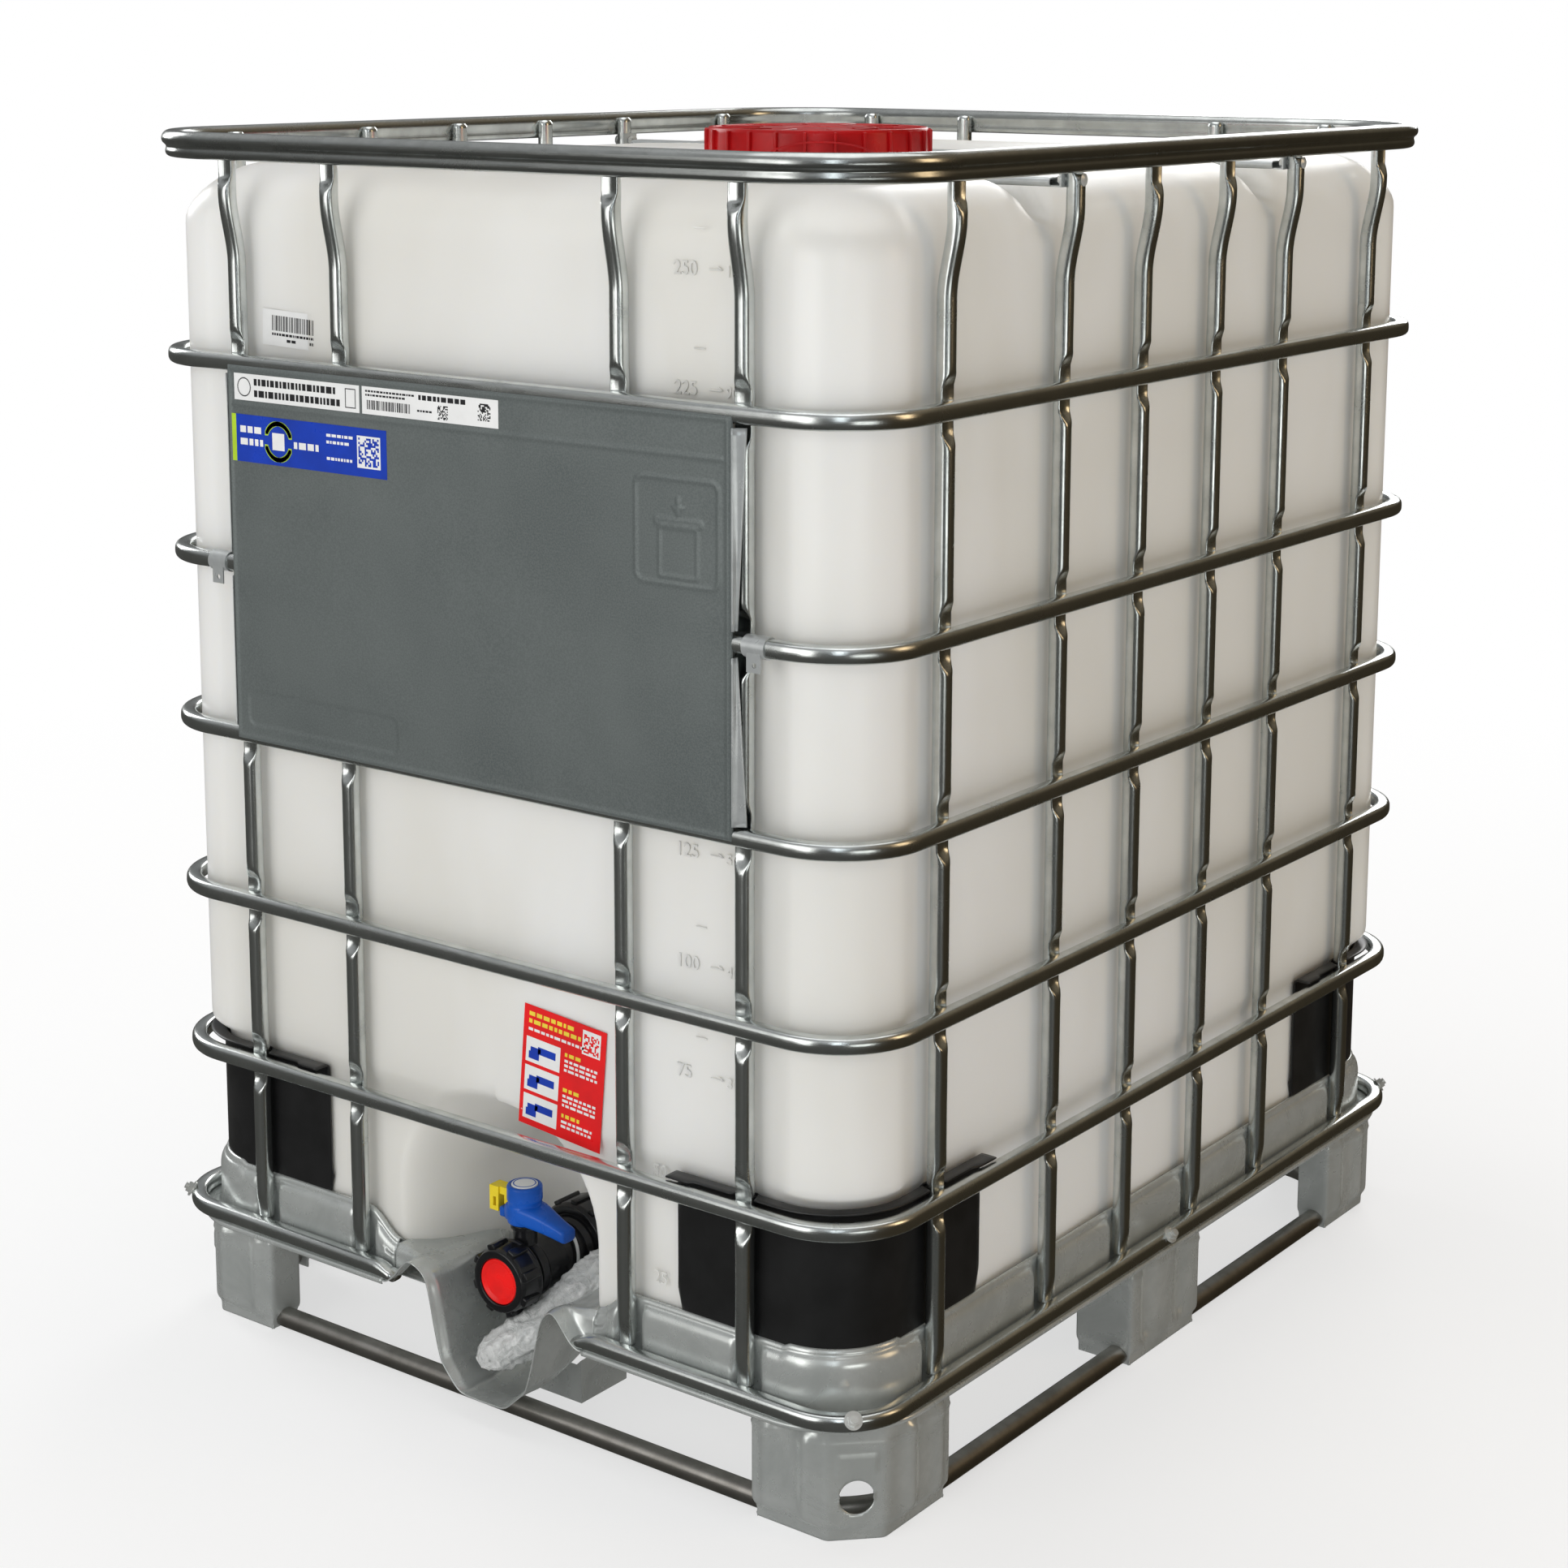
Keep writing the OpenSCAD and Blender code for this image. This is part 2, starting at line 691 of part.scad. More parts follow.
// A pressed foot: fluted skin, open on its inner side, drawn in a little at the ground
module corner_foot() {
    step_z = 13;
    step_in = 5;
    module inner_side() {
        translate([foot_a - foot_l - 2, foot_b - foot_w - 2]) square([foot_l - 32, foot_w - 32]);
    }
    difference() {
        union() {
            translate([0, 0, step_z]) linear_extrude(foot_top - step_z) difference() {
                foot_plan(0);
                foot_plan(foot_t);
                inner_side();
            }
            translate([0, 0, step_z]) linear_extrude(foot_t) difference() {
                foot_plan(0);
                foot_plan(step_in + foot_t);
                inner_side();
            }
            linear_extrude(step_z + 1) difference() {
                foot_plan(step_in);
                foot_plan(step_in + foot_t);
                inner_side();
            }
            translate([0, 0, foot_top - foot_t]) linear_extrude(foot_t) foot_plan(0);
        }
        translate([foot_a - foot_cut / 2, foot_b - foot_cut / 2, 47]) rotate([0, 0, 45])
            rotate([0, 90, 0]) cylinder(r = 17.5, h = 60, center = true);
        foot_runner_gap();
    }
}

// Room where the runner tube passes through the ends of the feet
module foot_runner_gap() {
    r = runner_d / 2 + 0.4;
    translate([0, 0, runner_d / 2]) frame_sweep(runner_a, runner_b, runner_bend) union() {
        circle(r);
        translate([-r, -r - 1]) square([2 * r, r + 1]);
    }
}

module foot(i, j) {
    color("darkgray") mirror([i > 0 ? 0 : 1, 0, 0]) mirror([0, j > 0 ? 0 : 1, 0]) corner_foot();
}

// A middle foot: a fluted skin facing +X, centred on y = 0, open behind
module mid_foot_shell(depth) {
    module plan(t) {
        difference() {
            translate([-depth, -mid_foot_half + t]) square([depth - t, 2 * (mid_foot_half - t)]);
            for (y = [-32, 32]) translate([3, y]) circle(9 + t);
        }
    }
    difference() {
        union() {
            translate([0, 0, 13]) linear_extrude(foot_top - 13) difference() {
                plan(0);
                plan(foot_t);
            }
            translate([0, 0, 13]) linear_extrude(foot_t) difference() {
                plan(0);
                plan(5 + foot_t);
            }
            linear_extrude(14) difference() {
                plan(5);
                plan(5 + foot_t);
            }
            translate([0, 0, foot_top - foot_t]) linear_extrude(foot_t) plan(0);
        }
        box(-depth - 1, -depth + 12, -mid_foot_half - 1, mid_foot_half + 1, -1, foot_top - 12);
    }
}

module mid_foot_side(i) {
    color("darkgray") difference() {
        translate([0, mid_foot_y, 0]) mirror([i > 0 ? 0 : 1, 0, 0]) translate([foot_a, 0, 0])
            mid_foot_shell(72);
        foot_runner_gap();
    }
}

module mid_foot_rear() {
    color("darkgray") difference() {
        translate([0, foot_b, 0]) rotate([0, 0, 90]) mid_foot_shell(72);
        foot_runner_gap();
    }
}

// The foot behind the valve chute, cut to the chute's underside
module mid_foot_front() {
    half = 50;
    front = -482;
    back = -408;
    color("darkgray") difference() {
        box(-half, half, front, back, 0, foot_top);
        box(-half + foot_t, half - foot_t, front + foot_t, back + 1, -1, foot_top - foot_t);
        chute_space(pan_t + 0.2, 90);
    }
}

module runner_frame() {
    color("dimgray") tube_frame(runner_a, runner_b, runner_bend, runner_d / 2, 1.5, runner_d / 2);
}

// Places the fixings of the bottom ring: four corners and the middle of each long side
module at_ring_fixings() {
    reach = bottom_bend * sin(45);
    cx = ring_a - bottom_bend + reach;
    cy = ring_b - bottom_bend + reach;
    for (i = [-1, 1], j = [-1, 1]) translate([i * cx, j * cy, bottom_ring_z])
        rotate([0, 0, atan2(j, i)]) rotate([0, 55, 0]) children();
    for (i = [-1, 1]) translate([i * ring_a, 0, bottom_ring_z])
        rotate([0, 0, i > 0 ? 0 : 180]) rotate([0, 55, 0]) children();
}

module ring_bolts() {
    color("white") at_ring_fixings() {
        translate([0, 0, tube_r + 0.2]) cylinder(r = 9, h = 1.6);
        translate([0, 0, tube_r + 1.8]) cylinder(r = 6.4, h = 5, $fn = 6);
        translate([0, 0, tube_r + 6.8]) cylinder(r = 3.8, h = 3);
    }
}

module chute_rivet() {
    top = runner_d + pan_t + 0.3;
    color("white") {
        translate([0, -runner_b, top]) cylinder(r = 8, h = 2.4);
        translate([0, -runner_b, runner_d + 0.1]) cylinder(r = 4, h = top - runner_d);
    }
}

inner_bottle();
fill_cap();
fill_cap_gasket();
vent_plug();
cap_seal_strap();
valve_body();
valve_union_nut();
valve_gasket();
valve_disc_stem();
valve_handle();
handle_cap_disc();
safety_clip();
outlet_cap_nut();
outlet_cap_disc();
outlet_gasket();
valve_tie();
protective_bag();
top_rim();
ring(0);  // ring_1
ring(1);  // ring_2
ring(2);  // ring_3
ring(3);  // ring_4
ring(4);  // ring_5
bottom_ring();
end_uprights(-1);  // front_uprights
end_uprights(1);  // rear_uprights
side_uprights(-1);  // left_uprights
side_uprights(1);  // right_uprights
crossbar(-1);  // crossbar_front
crossbar(1);  // crossbar_rear
crossbar_bolts();
label_plate();
plate_sleeves();
plate_labels();
service_label();
barcode_label();
valve_label();
protector(-1, -1);  // protector_front_left
protector(1, -1);  // protector_front_right
protector(-1, 1);  // protector_rear_left
protector(1, 1);  // protector_rear_right
deck_pan();
foot(-1, -1);  // foot_front_left
foot(1, -1);  // foot_front_right
foot(-1, 1);  // foot_rear_left
foot(1, 1);  // foot_rear_right
mid_foot_side(-1);  // mid_foot_left
mid_foot_side(1);  // mid_foot_right
mid_foot_rear();
mid_foot_front();
runner_frame();
ring_bolts();
chute_rivet();
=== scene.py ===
import math
import random

import bmesh
import bpy
import numpy as np
from mathutils import Matrix, Vector, noise


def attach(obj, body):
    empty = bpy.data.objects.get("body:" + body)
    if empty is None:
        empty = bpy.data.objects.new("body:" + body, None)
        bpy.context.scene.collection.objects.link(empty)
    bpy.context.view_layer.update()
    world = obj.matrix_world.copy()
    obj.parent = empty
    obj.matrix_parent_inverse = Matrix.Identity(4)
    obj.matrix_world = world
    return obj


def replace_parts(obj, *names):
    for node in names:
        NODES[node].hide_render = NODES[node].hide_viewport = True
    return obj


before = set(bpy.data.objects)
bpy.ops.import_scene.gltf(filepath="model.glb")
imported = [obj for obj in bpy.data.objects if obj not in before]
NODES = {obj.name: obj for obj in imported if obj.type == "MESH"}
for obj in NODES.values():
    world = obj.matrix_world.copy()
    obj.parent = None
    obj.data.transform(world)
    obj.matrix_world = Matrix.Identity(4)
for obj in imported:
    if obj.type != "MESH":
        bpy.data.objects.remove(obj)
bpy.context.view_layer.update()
MM = 0.001

# Sizes in millimetres: the CAD part's, except that the uprights' lean follows the photo more closely
RING_Z = (1095.0, 880.5, 695.0, 508.0, 322.5)
RING_A, RING_B, RING_BEND, TUBE_R = 478.5, 577.5, 86.0, 9.0
LOW_RING_Z, LOW_RING_BEND, LOW_RING_GAP = 133.7, 70.0, 122.0
UPRIGHT_INSET, UPRIGHT_FOOT = 9.5, 141.0
UPRIGHT_X = (-337.0, -187.0, 187.0, 337.0)
UPRIGHT_Y = (-434.0, -228.5, -77.0, 77.0, 228.5, 434.0)
LEAN_START, LEAN_TOP, LEAN_OUT = 1198.0, 1272.0, 10.5
UPRIGHT_TOP, CROSSBAR_Y = 1328.0, 228.5
BOTTLE_A, BOTTLE_B, BOTTLE_TOP, BOTTLE_FOOT = 455.0, 554.0, 1300.0, 127.0
BOTTLE_BEND, NECK_FOOT = 74.0, 119.0
SHEET_Y = -587.5
PLATE = (-337.0, 337.0, 691.0, 1095.0)
VALVE_Z, STEM_Y = 150.0, -512.0
FLANGE_Z, WALL_A, WALL_B, WALL_BEND = 124.7, 455.5, 554.5, 78.0
CHUTE_EDGE, CHUTE_WALL_DROP = 140.0, 27.0

# Sheet thicknesses in millimetres
PLATE_THICK, PAN_THICK, FOOT_THICK, PROTECTOR_THICK = 0.8, 1.1, 1.6, 2.4

# Camera, in metres and radians
CAMERA_AT, LENS, SHIFT = (1.9697, -2.6663, 1.4464), 67.04, (-0.0028, -0.1514)
YAW, PITCH, ROLL = -0.6460, -0.1771, 0.0024

# Studio levels
DOME, FLOOR_GLOW = 0.50, 0.62
REAR_RIGHT = (0.72, 0.69, 0.0)
PLAIN_WHITE = (1.0, 1.0, 1.0, 1.0)
# Lamps: name, place, what they point at, size, watts, colour
LAMPS = (
    ("key_front", (-1.0, -4.9, 2.0), (0, -0.4, 0.7), (3.2, 3.2), 58, (1.0, 0.99, 0.97)),
    ("strip_front", (0.1, -5.2, 1.0), (0, -0.4, 0.7), (1.2, 2.4), 16, (1.0, 1.0, 0.98)),
    ("strip_corner", (2.5, -3.6, 2.2), (0.45, -0.55, 0.7), (0.5, 2.8), 14, (0.88, 0.95, 1.0)),
    ("low_right", (3.6, -2.2, 0.5), (0.5, -0.5, 0.2), (1.6, 0.7), 9, (0.98, 1.0, 0.97)),
    ("fill_right", (4.4, 1.2, 2.2), (0.4, 0, 0.7), (1.2, 2.2), 20, (1.0, 0.72, 0.42)),
    ("top_soft", (0.0, 0.0, 4.4), (0, 0, 1.0), (3.6, 3.6), 62, (1, 1, 1)),
    ("rear_soft", (-1.2, 4.6, 2.8), (0, 0, 0.7), (2.6, 2.2), 80, (1, 1, 1)),
    ("left_soft", (-4.6, 0.2, 2.6), (0, 0, 0.7), (1.6, 2.2), 60, (1, 1, 1)))


# --- small tools ---

def smooth(x, lo, hi):
    """0 below lo, 1 above hi, eased between; works on arrays."""
    t = np.clip((np.asarray(x, float) - lo) / (hi - lo), 0.0, 1.0)
    return t * t * (3.0 - 2.0 * t)


def piece(name, verts, faces, material, body="body", uvs=None, shade=True, auto=None):
    """A mesh object from points in millimetres, riding a body and finished with a material."""
    mesh = bpy.data.meshes.new(name)
    mesh.from_pydata((np.asarray(verts, float) * MM).tolist(), [], [tuple(f) for f in faces])
    if uvs is not None:
        layer = mesh.uv_layers.new(name="along")
        loops = np.array([v for f in faces for v in f])
        layer.data.foreach_set("uv", np.asarray(uvs, float)[loops].ravel())
    mesh.polygons.foreach_set("use_smooth", [shade] * len(mesh.polygons))
    mesh.materials.append(material)
    mesh.update()
    obj = bpy.data.objects.new(name, mesh)
    bpy.context.collection.objects.link(obj)
    if auto is not None:
        sharp_by_angle(obj, auto)
    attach(obj, body)
    return obj


def edit_mesh(obj, change):
    """Runs change on the object's mesh as a bmesh."""
    bm = bmesh.new()
    bm.from_mesh(obj.data)
    change(bm)
    bm.to_mesh(obj.data)
    bm.free()


def sharp_by_angle(obj, degrees):
    """Marks edges sharper than the angle, so flat faces stay flat beside rounded ones."""
    limit = math.radians(degrees)

    def mark(bm):
        for e in bm.edges:
            if len(e.link_faces) == 2 and e.calc_face_angle(0.0) > limit:
                e.smooth = False

    edit_mesh(obj, mark)


def face_outward(obj):
    edit_mesh(obj, lambda bm: bmesh.ops.recalc_face_normals(bm, faces=bm.faces))


def weld(obj, distance=1e-6):
    """Merges points closer than the distance, in metres, and turns every face outward."""
    edit_mesh(obj, lambda bm: bmesh.ops.remove_doubles(bm, verts=bm.verts, dist=distance))
    face_outward(obj)


def thicken(obj, thickness, offset=0.0):
    """Gives a sheet its thickness in millimetres."""
    shell = obj.modifiers.new("sheet", "SOLIDIFY")
    shell.thickness, shell.offset = thickness * MM, offset


def grid_faces(rows, cols, wrap_rows=False, wrap_cols=False, base=0):
    """Quads over a rows x cols block of points."""
    out = []
    for i in range(rows if wrap_rows else rows - 1):
        k = (i + 1) % rows
        for j in range(cols if wrap_cols else cols - 1):
            m = (j + 1) % cols
            out.append((base + i * cols + j, base + k * cols + j,
                        base + k * cols + m, base + i * cols + m))
    return out


def loft(name, rings, material, body="body", closed=False, auto=None):
    """Skins a row of closed rings of points. The UV map holds metres along and turns around."""
    rings = np.asarray(rings, float)
    n, m = rings.shape[:2]
    centres = rings.mean(axis=1)
    along = np.concatenate([[0.0], np.cumsum(np.linalg.norm(np.diff(centres, axis=0), axis=1))]) * MM
    if closed:
        rings = np.concatenate([rings, rings[:1]])
        along = np.append(along, along[-1] + np.linalg.norm(centres[0] - centres[-1]) * MM)
        n += 1
    rings = np.concatenate([rings, rings[:, :1]], axis=1)
    m += 1
    verts = rings.reshape(-1, 3)
    uvs = np.stack([np.repeat(along, m), np.tile(np.linspace(0.0, 1.0, m), n)], axis=1)
    faces = grid_faces(n, m)
    if not closed:
        faces += [tuple(range(m - 1)), tuple(reversed(range((n - 1) * m, n * m - 1)))]
    obj = piece(name, verts, faces, material, body, uvs, auto=auto)
    weld(obj)
    return obj


def squircle(ru, rv, power=2.8, n=28):
    """Rounded square section as (u, v) pairs."""
    t = np.linspace(0.0, 2 * math.pi, n, endpoint=False)
    c, s = np.cos(t), np.sin(t)
    e = 2.0 / power
    return np.stack([ru * np.sign(c) * np.abs(c) ** e, rv * np.sign(s) * np.abs(s) ** e], axis=1)


def straight(p, q, count):
    """count points from p towards q, without q."""
    shares = (k / count for k in range(count))
    return [(p[0] + (q[0] - p[0]) * t, p[1] + (q[1] - p[1]) * t) for t in shares]


def quarter_turn(start, count):
    """count directions from the start angle, without the last."""
    angles = (start + math.pi / 2 * k / count for k in range(count))
    return [(math.cos(q), math.sin(q)) for q in angles]


def rectangle_path(a, b, bend, step=14.0, arc=14):
    """Points and normals round a rounded rectangle, from the middle of the front, anticlockwise."""
    pts, nrm = [], []

    def line(p, q, n):
        count = max(2, int(math.dist(p, q) / step))
        pts.extend(straight(p, q, count))
        nrm.extend([n] * count)

    def corner(cx, cy, start):
        turn = quarter_turn(start, arc)
        pts.extend((cx + bend * u, cy + bend * v) for u, v in turn)
        nrm.extend(turn)

    line((0, -b), (a - bend, -b), (0, -1))
    corner(a - bend, bend - b, -math.pi / 2)
    line((a, bend - b), (a, b - bend), (1, 0))
    corner(a - bend, b - bend, 0.0)
    line((a - bend, b), (bend - a, b), (0, 1))
    corner(bend - a, b - bend, math.pi / 2)
    line((-a, b - bend), (-a, bend - b), (-1, 0))
    corner(bend - a, bend - b, math.pi)
    line((bend - a, -b), (0, -b), (0, -1))
    return np.array(pts, float), np.array(nrm, float)


def open_front(pts, nrm, gap):
    """The path without its front stretch of half width gap, running from one side of it to the other."""
    keep = ~((np.abs(pts[:, 0]) < gap) & (pts[:, 1] < 0))
    first = int(np.argmax(keep))
    pts, nrm, keep = (np.roll(v, -first, axis=0) for v in (pts, nrm, keep))
    return pts[keep], nrm[keep]


def sweep(pts, nrm, u, z):
    """A section of points, u outward at heights z, carried along a path."""
    return [np.stack([p[0] + n[0] * u, p[1] + n[1] * u, z], axis=1) for p, n in zip(pts, nrm)]


def join(objects, name):
    """Joins pieces of one body and material into the first."""
    with bpy.context.temp_override(active_object=objects[0], object=objects[0],
                                   selected_editable_objects=objects, selected_objects=objects):
        bpy.ops.object.join()
    objects[0].name = name
    objects[0].data.name = name
    return objects[0]


# --- materials ---

class Graph:
    """Short calls for building a node tree."""

    def __init__(self, tree):
        self.tree = tree

    def node(self, kind, **values):
        made = self.tree.nodes.new(kind)
        for key, value in values.items():
            if hasattr(made, key):
                setattr(made, key, value)
            else:
                made.inputs[key.replace("_", " ")].default_value = value
        return made

    def link(self, a, b):
        self.tree.links.new(a, b)

    def ramp(self, value, stops):
        r = self.node("ShaderNodeValToRGB")
        while len(r.color_ramp.elements) < len(stops):
            r.color_ramp.elements.new(0.5)
        for element, (at, color) in zip(r.color_ramp.elements, stops):
            element.position = at
            element.color = (*color, 1.0)
        self.link(value, r.inputs["Fac"])
        return r.outputs["Color"]

    def mix(self, factor, a, b, blend="MIX"):
        """Mixes two colours; each input is a number, a colour or a socket."""
        m = self.node("ShaderNodeMix", data_type="RGBA", blend_type=blend)
        for value, socket in ((factor, m.inputs[0]), (a, m.inputs[6]), (b, m.inputs[7])):
            if isinstance(value, (int, float)):
                socket.default_value = value
            elif isinstance(value, tuple):
                socket.default_value = (*value, 1.0)
            else:
                self.link(value, socket)
        return m.outputs[2]

    def mix_shaders(self, factor, a, b, into):
        m = self.node("ShaderNodeMixShader")
        for k, value in enumerate((factor, a, b)):
            self.link(value, m.inputs[k])
        self.link(m.outputs[0], self.tree.nodes[into].inputs["Surface"])


class Shader(Graph):
    """A Principled material with short calls for its procedural inputs."""

    def __init__(self, name, color, rough, metallic=0.0, **sockets):
        self.material = bpy.data.materials.new(name)
        self.material.use_nodes = True
        super().__init__(self.material.node_tree)
        self.bsdf = self.tree.nodes["Principled BSDF"]
        self.put("Base Color", (*color, 1.0))
        self.put("Roughness", rough)
        self.put("Metallic", metallic)
        for key, value in sockets.items():
            self.put(key.replace("_", " "), value)
        self.last_normal = None

    def put(self, socket, value):
        self.bsdf.inputs[socket].default_value = value

    def place(self, scale=(1, 1, 1), source="Object"):
        """Coordinates stretched by scale: the object's own, in metres, or the along map."""
        if source == "UV":
            out = self.node("ShaderNodeUVMap", uv_map="along").outputs["UV"]
        else:
            out = self.node("ShaderNodeTexCoord").outputs[source]
        mapping = self.node("ShaderNodeMapping")
        mapping.inputs["Scale"].default_value = scale
        self.link(out, mapping.inputs["Vector"])
        return mapping.outputs["Vector"]

    def noise(self, where, scale=1.0, detail=4.0, roughness=0.55, distortion=0.0):
        n = self.node("ShaderNodeTexNoise", Scale=scale, Detail=detail, Roughness=roughness,
                      Distortion=distortion)
        self.link(where, n.inputs["Vector"])
        return n.outputs["Fac"]

    def range(self, value, lo, hi, out_lo, out_hi):
        m = self.node("ShaderNodeMapRange")
        for key, v in (("From Min", lo), ("From Max", hi), ("To Min", out_lo), ("To Max", out_hi)):
            m.inputs[key].default_value = v
        self.link(value, m.inputs["Value"])
        return m.outputs["Result"]

    def bump(self, height, strength, distance):
        """Adds a bump on top of the ones before it."""
        b = self.node("ShaderNodeBump", Strength=strength, Distance=distance)
        self.link(height, b.inputs["Height"])
        if self.last_normal:
            self.link(self.last_normal, b.inputs["Normal"])
        self.last_normal = b.outputs["Normal"]
        self.link(self.last_normal, self.bsdf.inputs["Normal"])

    def to(self, value, socket):
        self.link(value, self.bsdf.inputs[socket])


def tube_steel(name, light, dark, rough):
    """Galvanised tube: fine roll lines along its length, cloudy zinc and small scuffs."""
    s = Shader(name, light, rough, 1.0)
    lines = s.noise(s.place((1.2, 60.0, 1.0), "UV"), 1.0, 3.0)
    clouds = s.noise(s.place((26, 26, 26)), 1.0, 5.0, 0.6)
    patches = s.noise(s.place((5, 5, 5)), 1.0, 3.0)
    base = s.mix(s.range(clouds, 0.35, 0.7, 0.0, 1.0), dark, light)
    base = s.mix(s.range(patches, 0.4, 0.65, 0.0, 0.35), base, dark)
    base = s.mix(s.range(lines, 0.62, 0.8, 0.0, 0.25), base, (0.16, 0.17, 0.17))
    s.to(base, "Base Color")
    s.to(s.range(clouds, 0.3, 0.75, rough + 0.07, rough - 0.05), "Roughness")
    s.bump(lines, 0.10, 0.0008)
    s.bump(clouds, 0.03, 0.0006)
    return s.material


def sheet_steel(name, light, dark, rough):
    """Galvanised sheet with faint spangle, forming marks and dull patches."""
    s = Shader(name, light, rough, 0.52)
    where = s.place((1, 1, 1))
    clouds = s.noise(where, 14.0, 6.0, 0.62, 0.6)
    drawn = s.noise(s.place((14, 14, 120)), 1.0, 3.0)
    base = s.mix(s.range(clouds, 0.36, 0.68, 0.0, 1.0), dark, light)
    flecks = s.noise(where, 120.0, 2.0)
    base = s.mix(s.range(flecks, 0.45, 0.62, 0.0, 0.22), base, dark)
    s.to(base, "Base Color")
    s.to(s.range(clouds, 0.3, 0.7, rough + 0.12, rough - 0.06), "Roughness")
    s.bump(clouds, 0.05, 0.001)
    s.bump(drawn, 0.04, 0.0005)
    return s.material


def moulded(name, color, rough, vary=0.06, grain=900.0, grain_bump=0.12, **sockets):
    """Moulded plastic: fine surface grain, slow colour drift and a little unevenness of gloss."""
    s = Shader(name, color, rough, 0.0, **{"Specular_IOR_Level": 0.3, **sockets})
    where = s.place((1, 1, 1))
    drift = s.noise(where, 22.0, 4.0)
    fine = s.noise(where, grain, 2.0)
    paler = tuple(min(1.0, c * (1 + 2.5 * vary) + vary * 0.02) for c in color)
    darker = tuple(c * (1 - 2.5 * vary) for c in color)
    s.to(s.mix(s.range(drift, 0.35, 0.66, 0.0, 1.0), darker, paler), "Base Color")
    s.to(s.range(drift, 0.3, 0.7, rough + 0.07, rough - 0.05), "Roughness")
    s.bump(fine, grain_bump, 0.0003)
    s.bump(drift, 0.06, 0.0012)
    return s.material


def bottle_plastic():
    """Milky blow-moulded polyethylene: it lets light through and ripples slightly."""
    s = Shader("bottle_polyethylene", (0.86, 0.855, 0.83), 0.36, 0.0, Subsurface_Weight=0.35,
               Subsurface_Scale=0.03, Specular_IOR_Level=0.42, Coat_Weight=0.12, Coat_Roughness=0.25)
    s.put("Subsurface Radius", (1.0, 0.92, 0.78))
    where = s.place((1, 1, 1))
    slow = s.noise(s.place((3.2, 3.2, 1.6)), 1.0, 3.0, 0.5, 0.4)
    ripple = s.noise(s.place((16, 16, 5)), 1.0, 3.0)
    fine = s.noise(where, 420.0, 2.0)
    tint = s.mix(s.range(slow, 0.38, 0.62, 0.0, 1.0), (0.77, 0.755, 0.71), (0.845, 0.84, 0.82))
    s.to(tint, "Base Color")
    s.to(s.range(ripple, 0.3, 0.7, 0.42, 0.30), "Roughness")
    s.bump(slow, 0.5, 0.006)
    s.bump(ripple, 0.16, 0.002)
    s.bump(fine, 0.05, 0.0003)
    return s.material


def plate_coat():
    """Grey-green coated sheet with a fine stipple."""
    s = Shader("plate_coated_sheet", (0.17, 0.20, 0.20), 0.44, 0.35)
    where = s.place((1, 1, 1))
    stipple = s.noise(where, 520.0, 3.0, 0.7)
    clouds = s.noise(where, 6.0, 4.0)
    base = s.mix(s.range(clouds, 0.35, 0.65, 0.0, 1.0), (0.118, 0.136, 0.134), (0.150, 0.170, 0.166))
    base = s.mix(s.range(stipple, 0.4, 0.62, 0.0, 0.45), base, (0.205, 0.228, 0.224))
    s.to(base, "Base Color")
    s.to(s.range(stipple, 0.3, 0.7, 0.52, 0.38), "Roughness")
    s.bump(stipple, 0.35, 0.0006)
    s.bump(clouds, 0.25, 0.004)
    return s.material


def clear_film():
    """Milky thin film, glossier on the crests of its creases; its uneven milky tone also carries painted
    highlight, paler on the crests, and painted shade, greyer in the hollows between folds.
    """
    s = Shader("film_clear", (0.80, 0.82, 0.81), 0.2, 0.0, Transmission_Weight=0.18, IOR=1.3,
               Specular_IOR_Level=0.8, Coat_Weight=0.8, Coat_Roughness=0.06, Alpha=0.9)
    where = s.place((1, 1, 1))
    folds = s.noise(where, 55.0, 6.0, 0.62, 1.8)
    # painted highlight and painted shade: the colour runs paler on the fold crests and greyer in the
    # hollows, following the same folds as the bump
    tint = s.mix(s.range(folds, 0.38, 0.62, 0.0, 1.0), (0.70, 0.72, 0.71), (0.95, 0.955, 0.945))
    s.to(tint, "Base Color")
    s.to(s.range(folds, 0.3, 0.7, 0.34, 0.10), "Roughness")
    s.bump(folds, 0.9, 0.005)
    return s.material


TUBE = tube_steel("steel_tube", (0.76, 0.785, 0.775), (0.54, 0.565, 0.555), 0.22)
RIM = tube_steel("steel_rim", (0.60, 0.625, 0.61), (0.40, 0.415, 0.405), 0.22)
RUNNER = tube_steel("steel_runner", (0.52, 0.50, 0.47), (0.32, 0.305, 0.28), 0.34)
SHEET = sheet_steel("steel_sheet", (0.68, 0.70, 0.685), (0.52, 0.545, 0.53), 0.24)
ZINC = sheet_steel("steel_zinc_fixing", (0.74, 0.74, 0.71), (0.55, 0.56, 0.54), 0.26)
TUBE_FLAT = sheet_steel("steel_flat_tube", (0.62, 0.64, 0.64), (0.44, 0.46, 0.46), 0.28)
BOTTLE = bottle_plastic()
BLACK = moulded("plastic_black", (0.007, 0.007, 0.008), 0.22, 0.10, 700.0, 0.10, Specular_IOR_Level=0.5)
PROTECTOR = moulded("plastic_protector", (0.008, 0.008, 0.0085), 0.33, 0.12, 260.0, 0.18,
                    Specular_IOR_Level=0.6)
RED_CAP = moulded("plastic_red_cap", (0.47, 0.004, 0.006), 0.30, 0.08)
RED_DISC = moulded("plastic_red_disc", (0.86, 0.006, 0.005), 0.30, 0.06)
BLUE = moulded("plastic_blue", (0.006, 0.085, 0.44), 0.30, 0.08)
YELLOW = moulded("plastic_yellow", (0.86, 0.66, 0.02), 0.38, 0.05)
WHITE = moulded("plastic_white", (0.80, 0.81, 0.80), 0.45, 0.03)
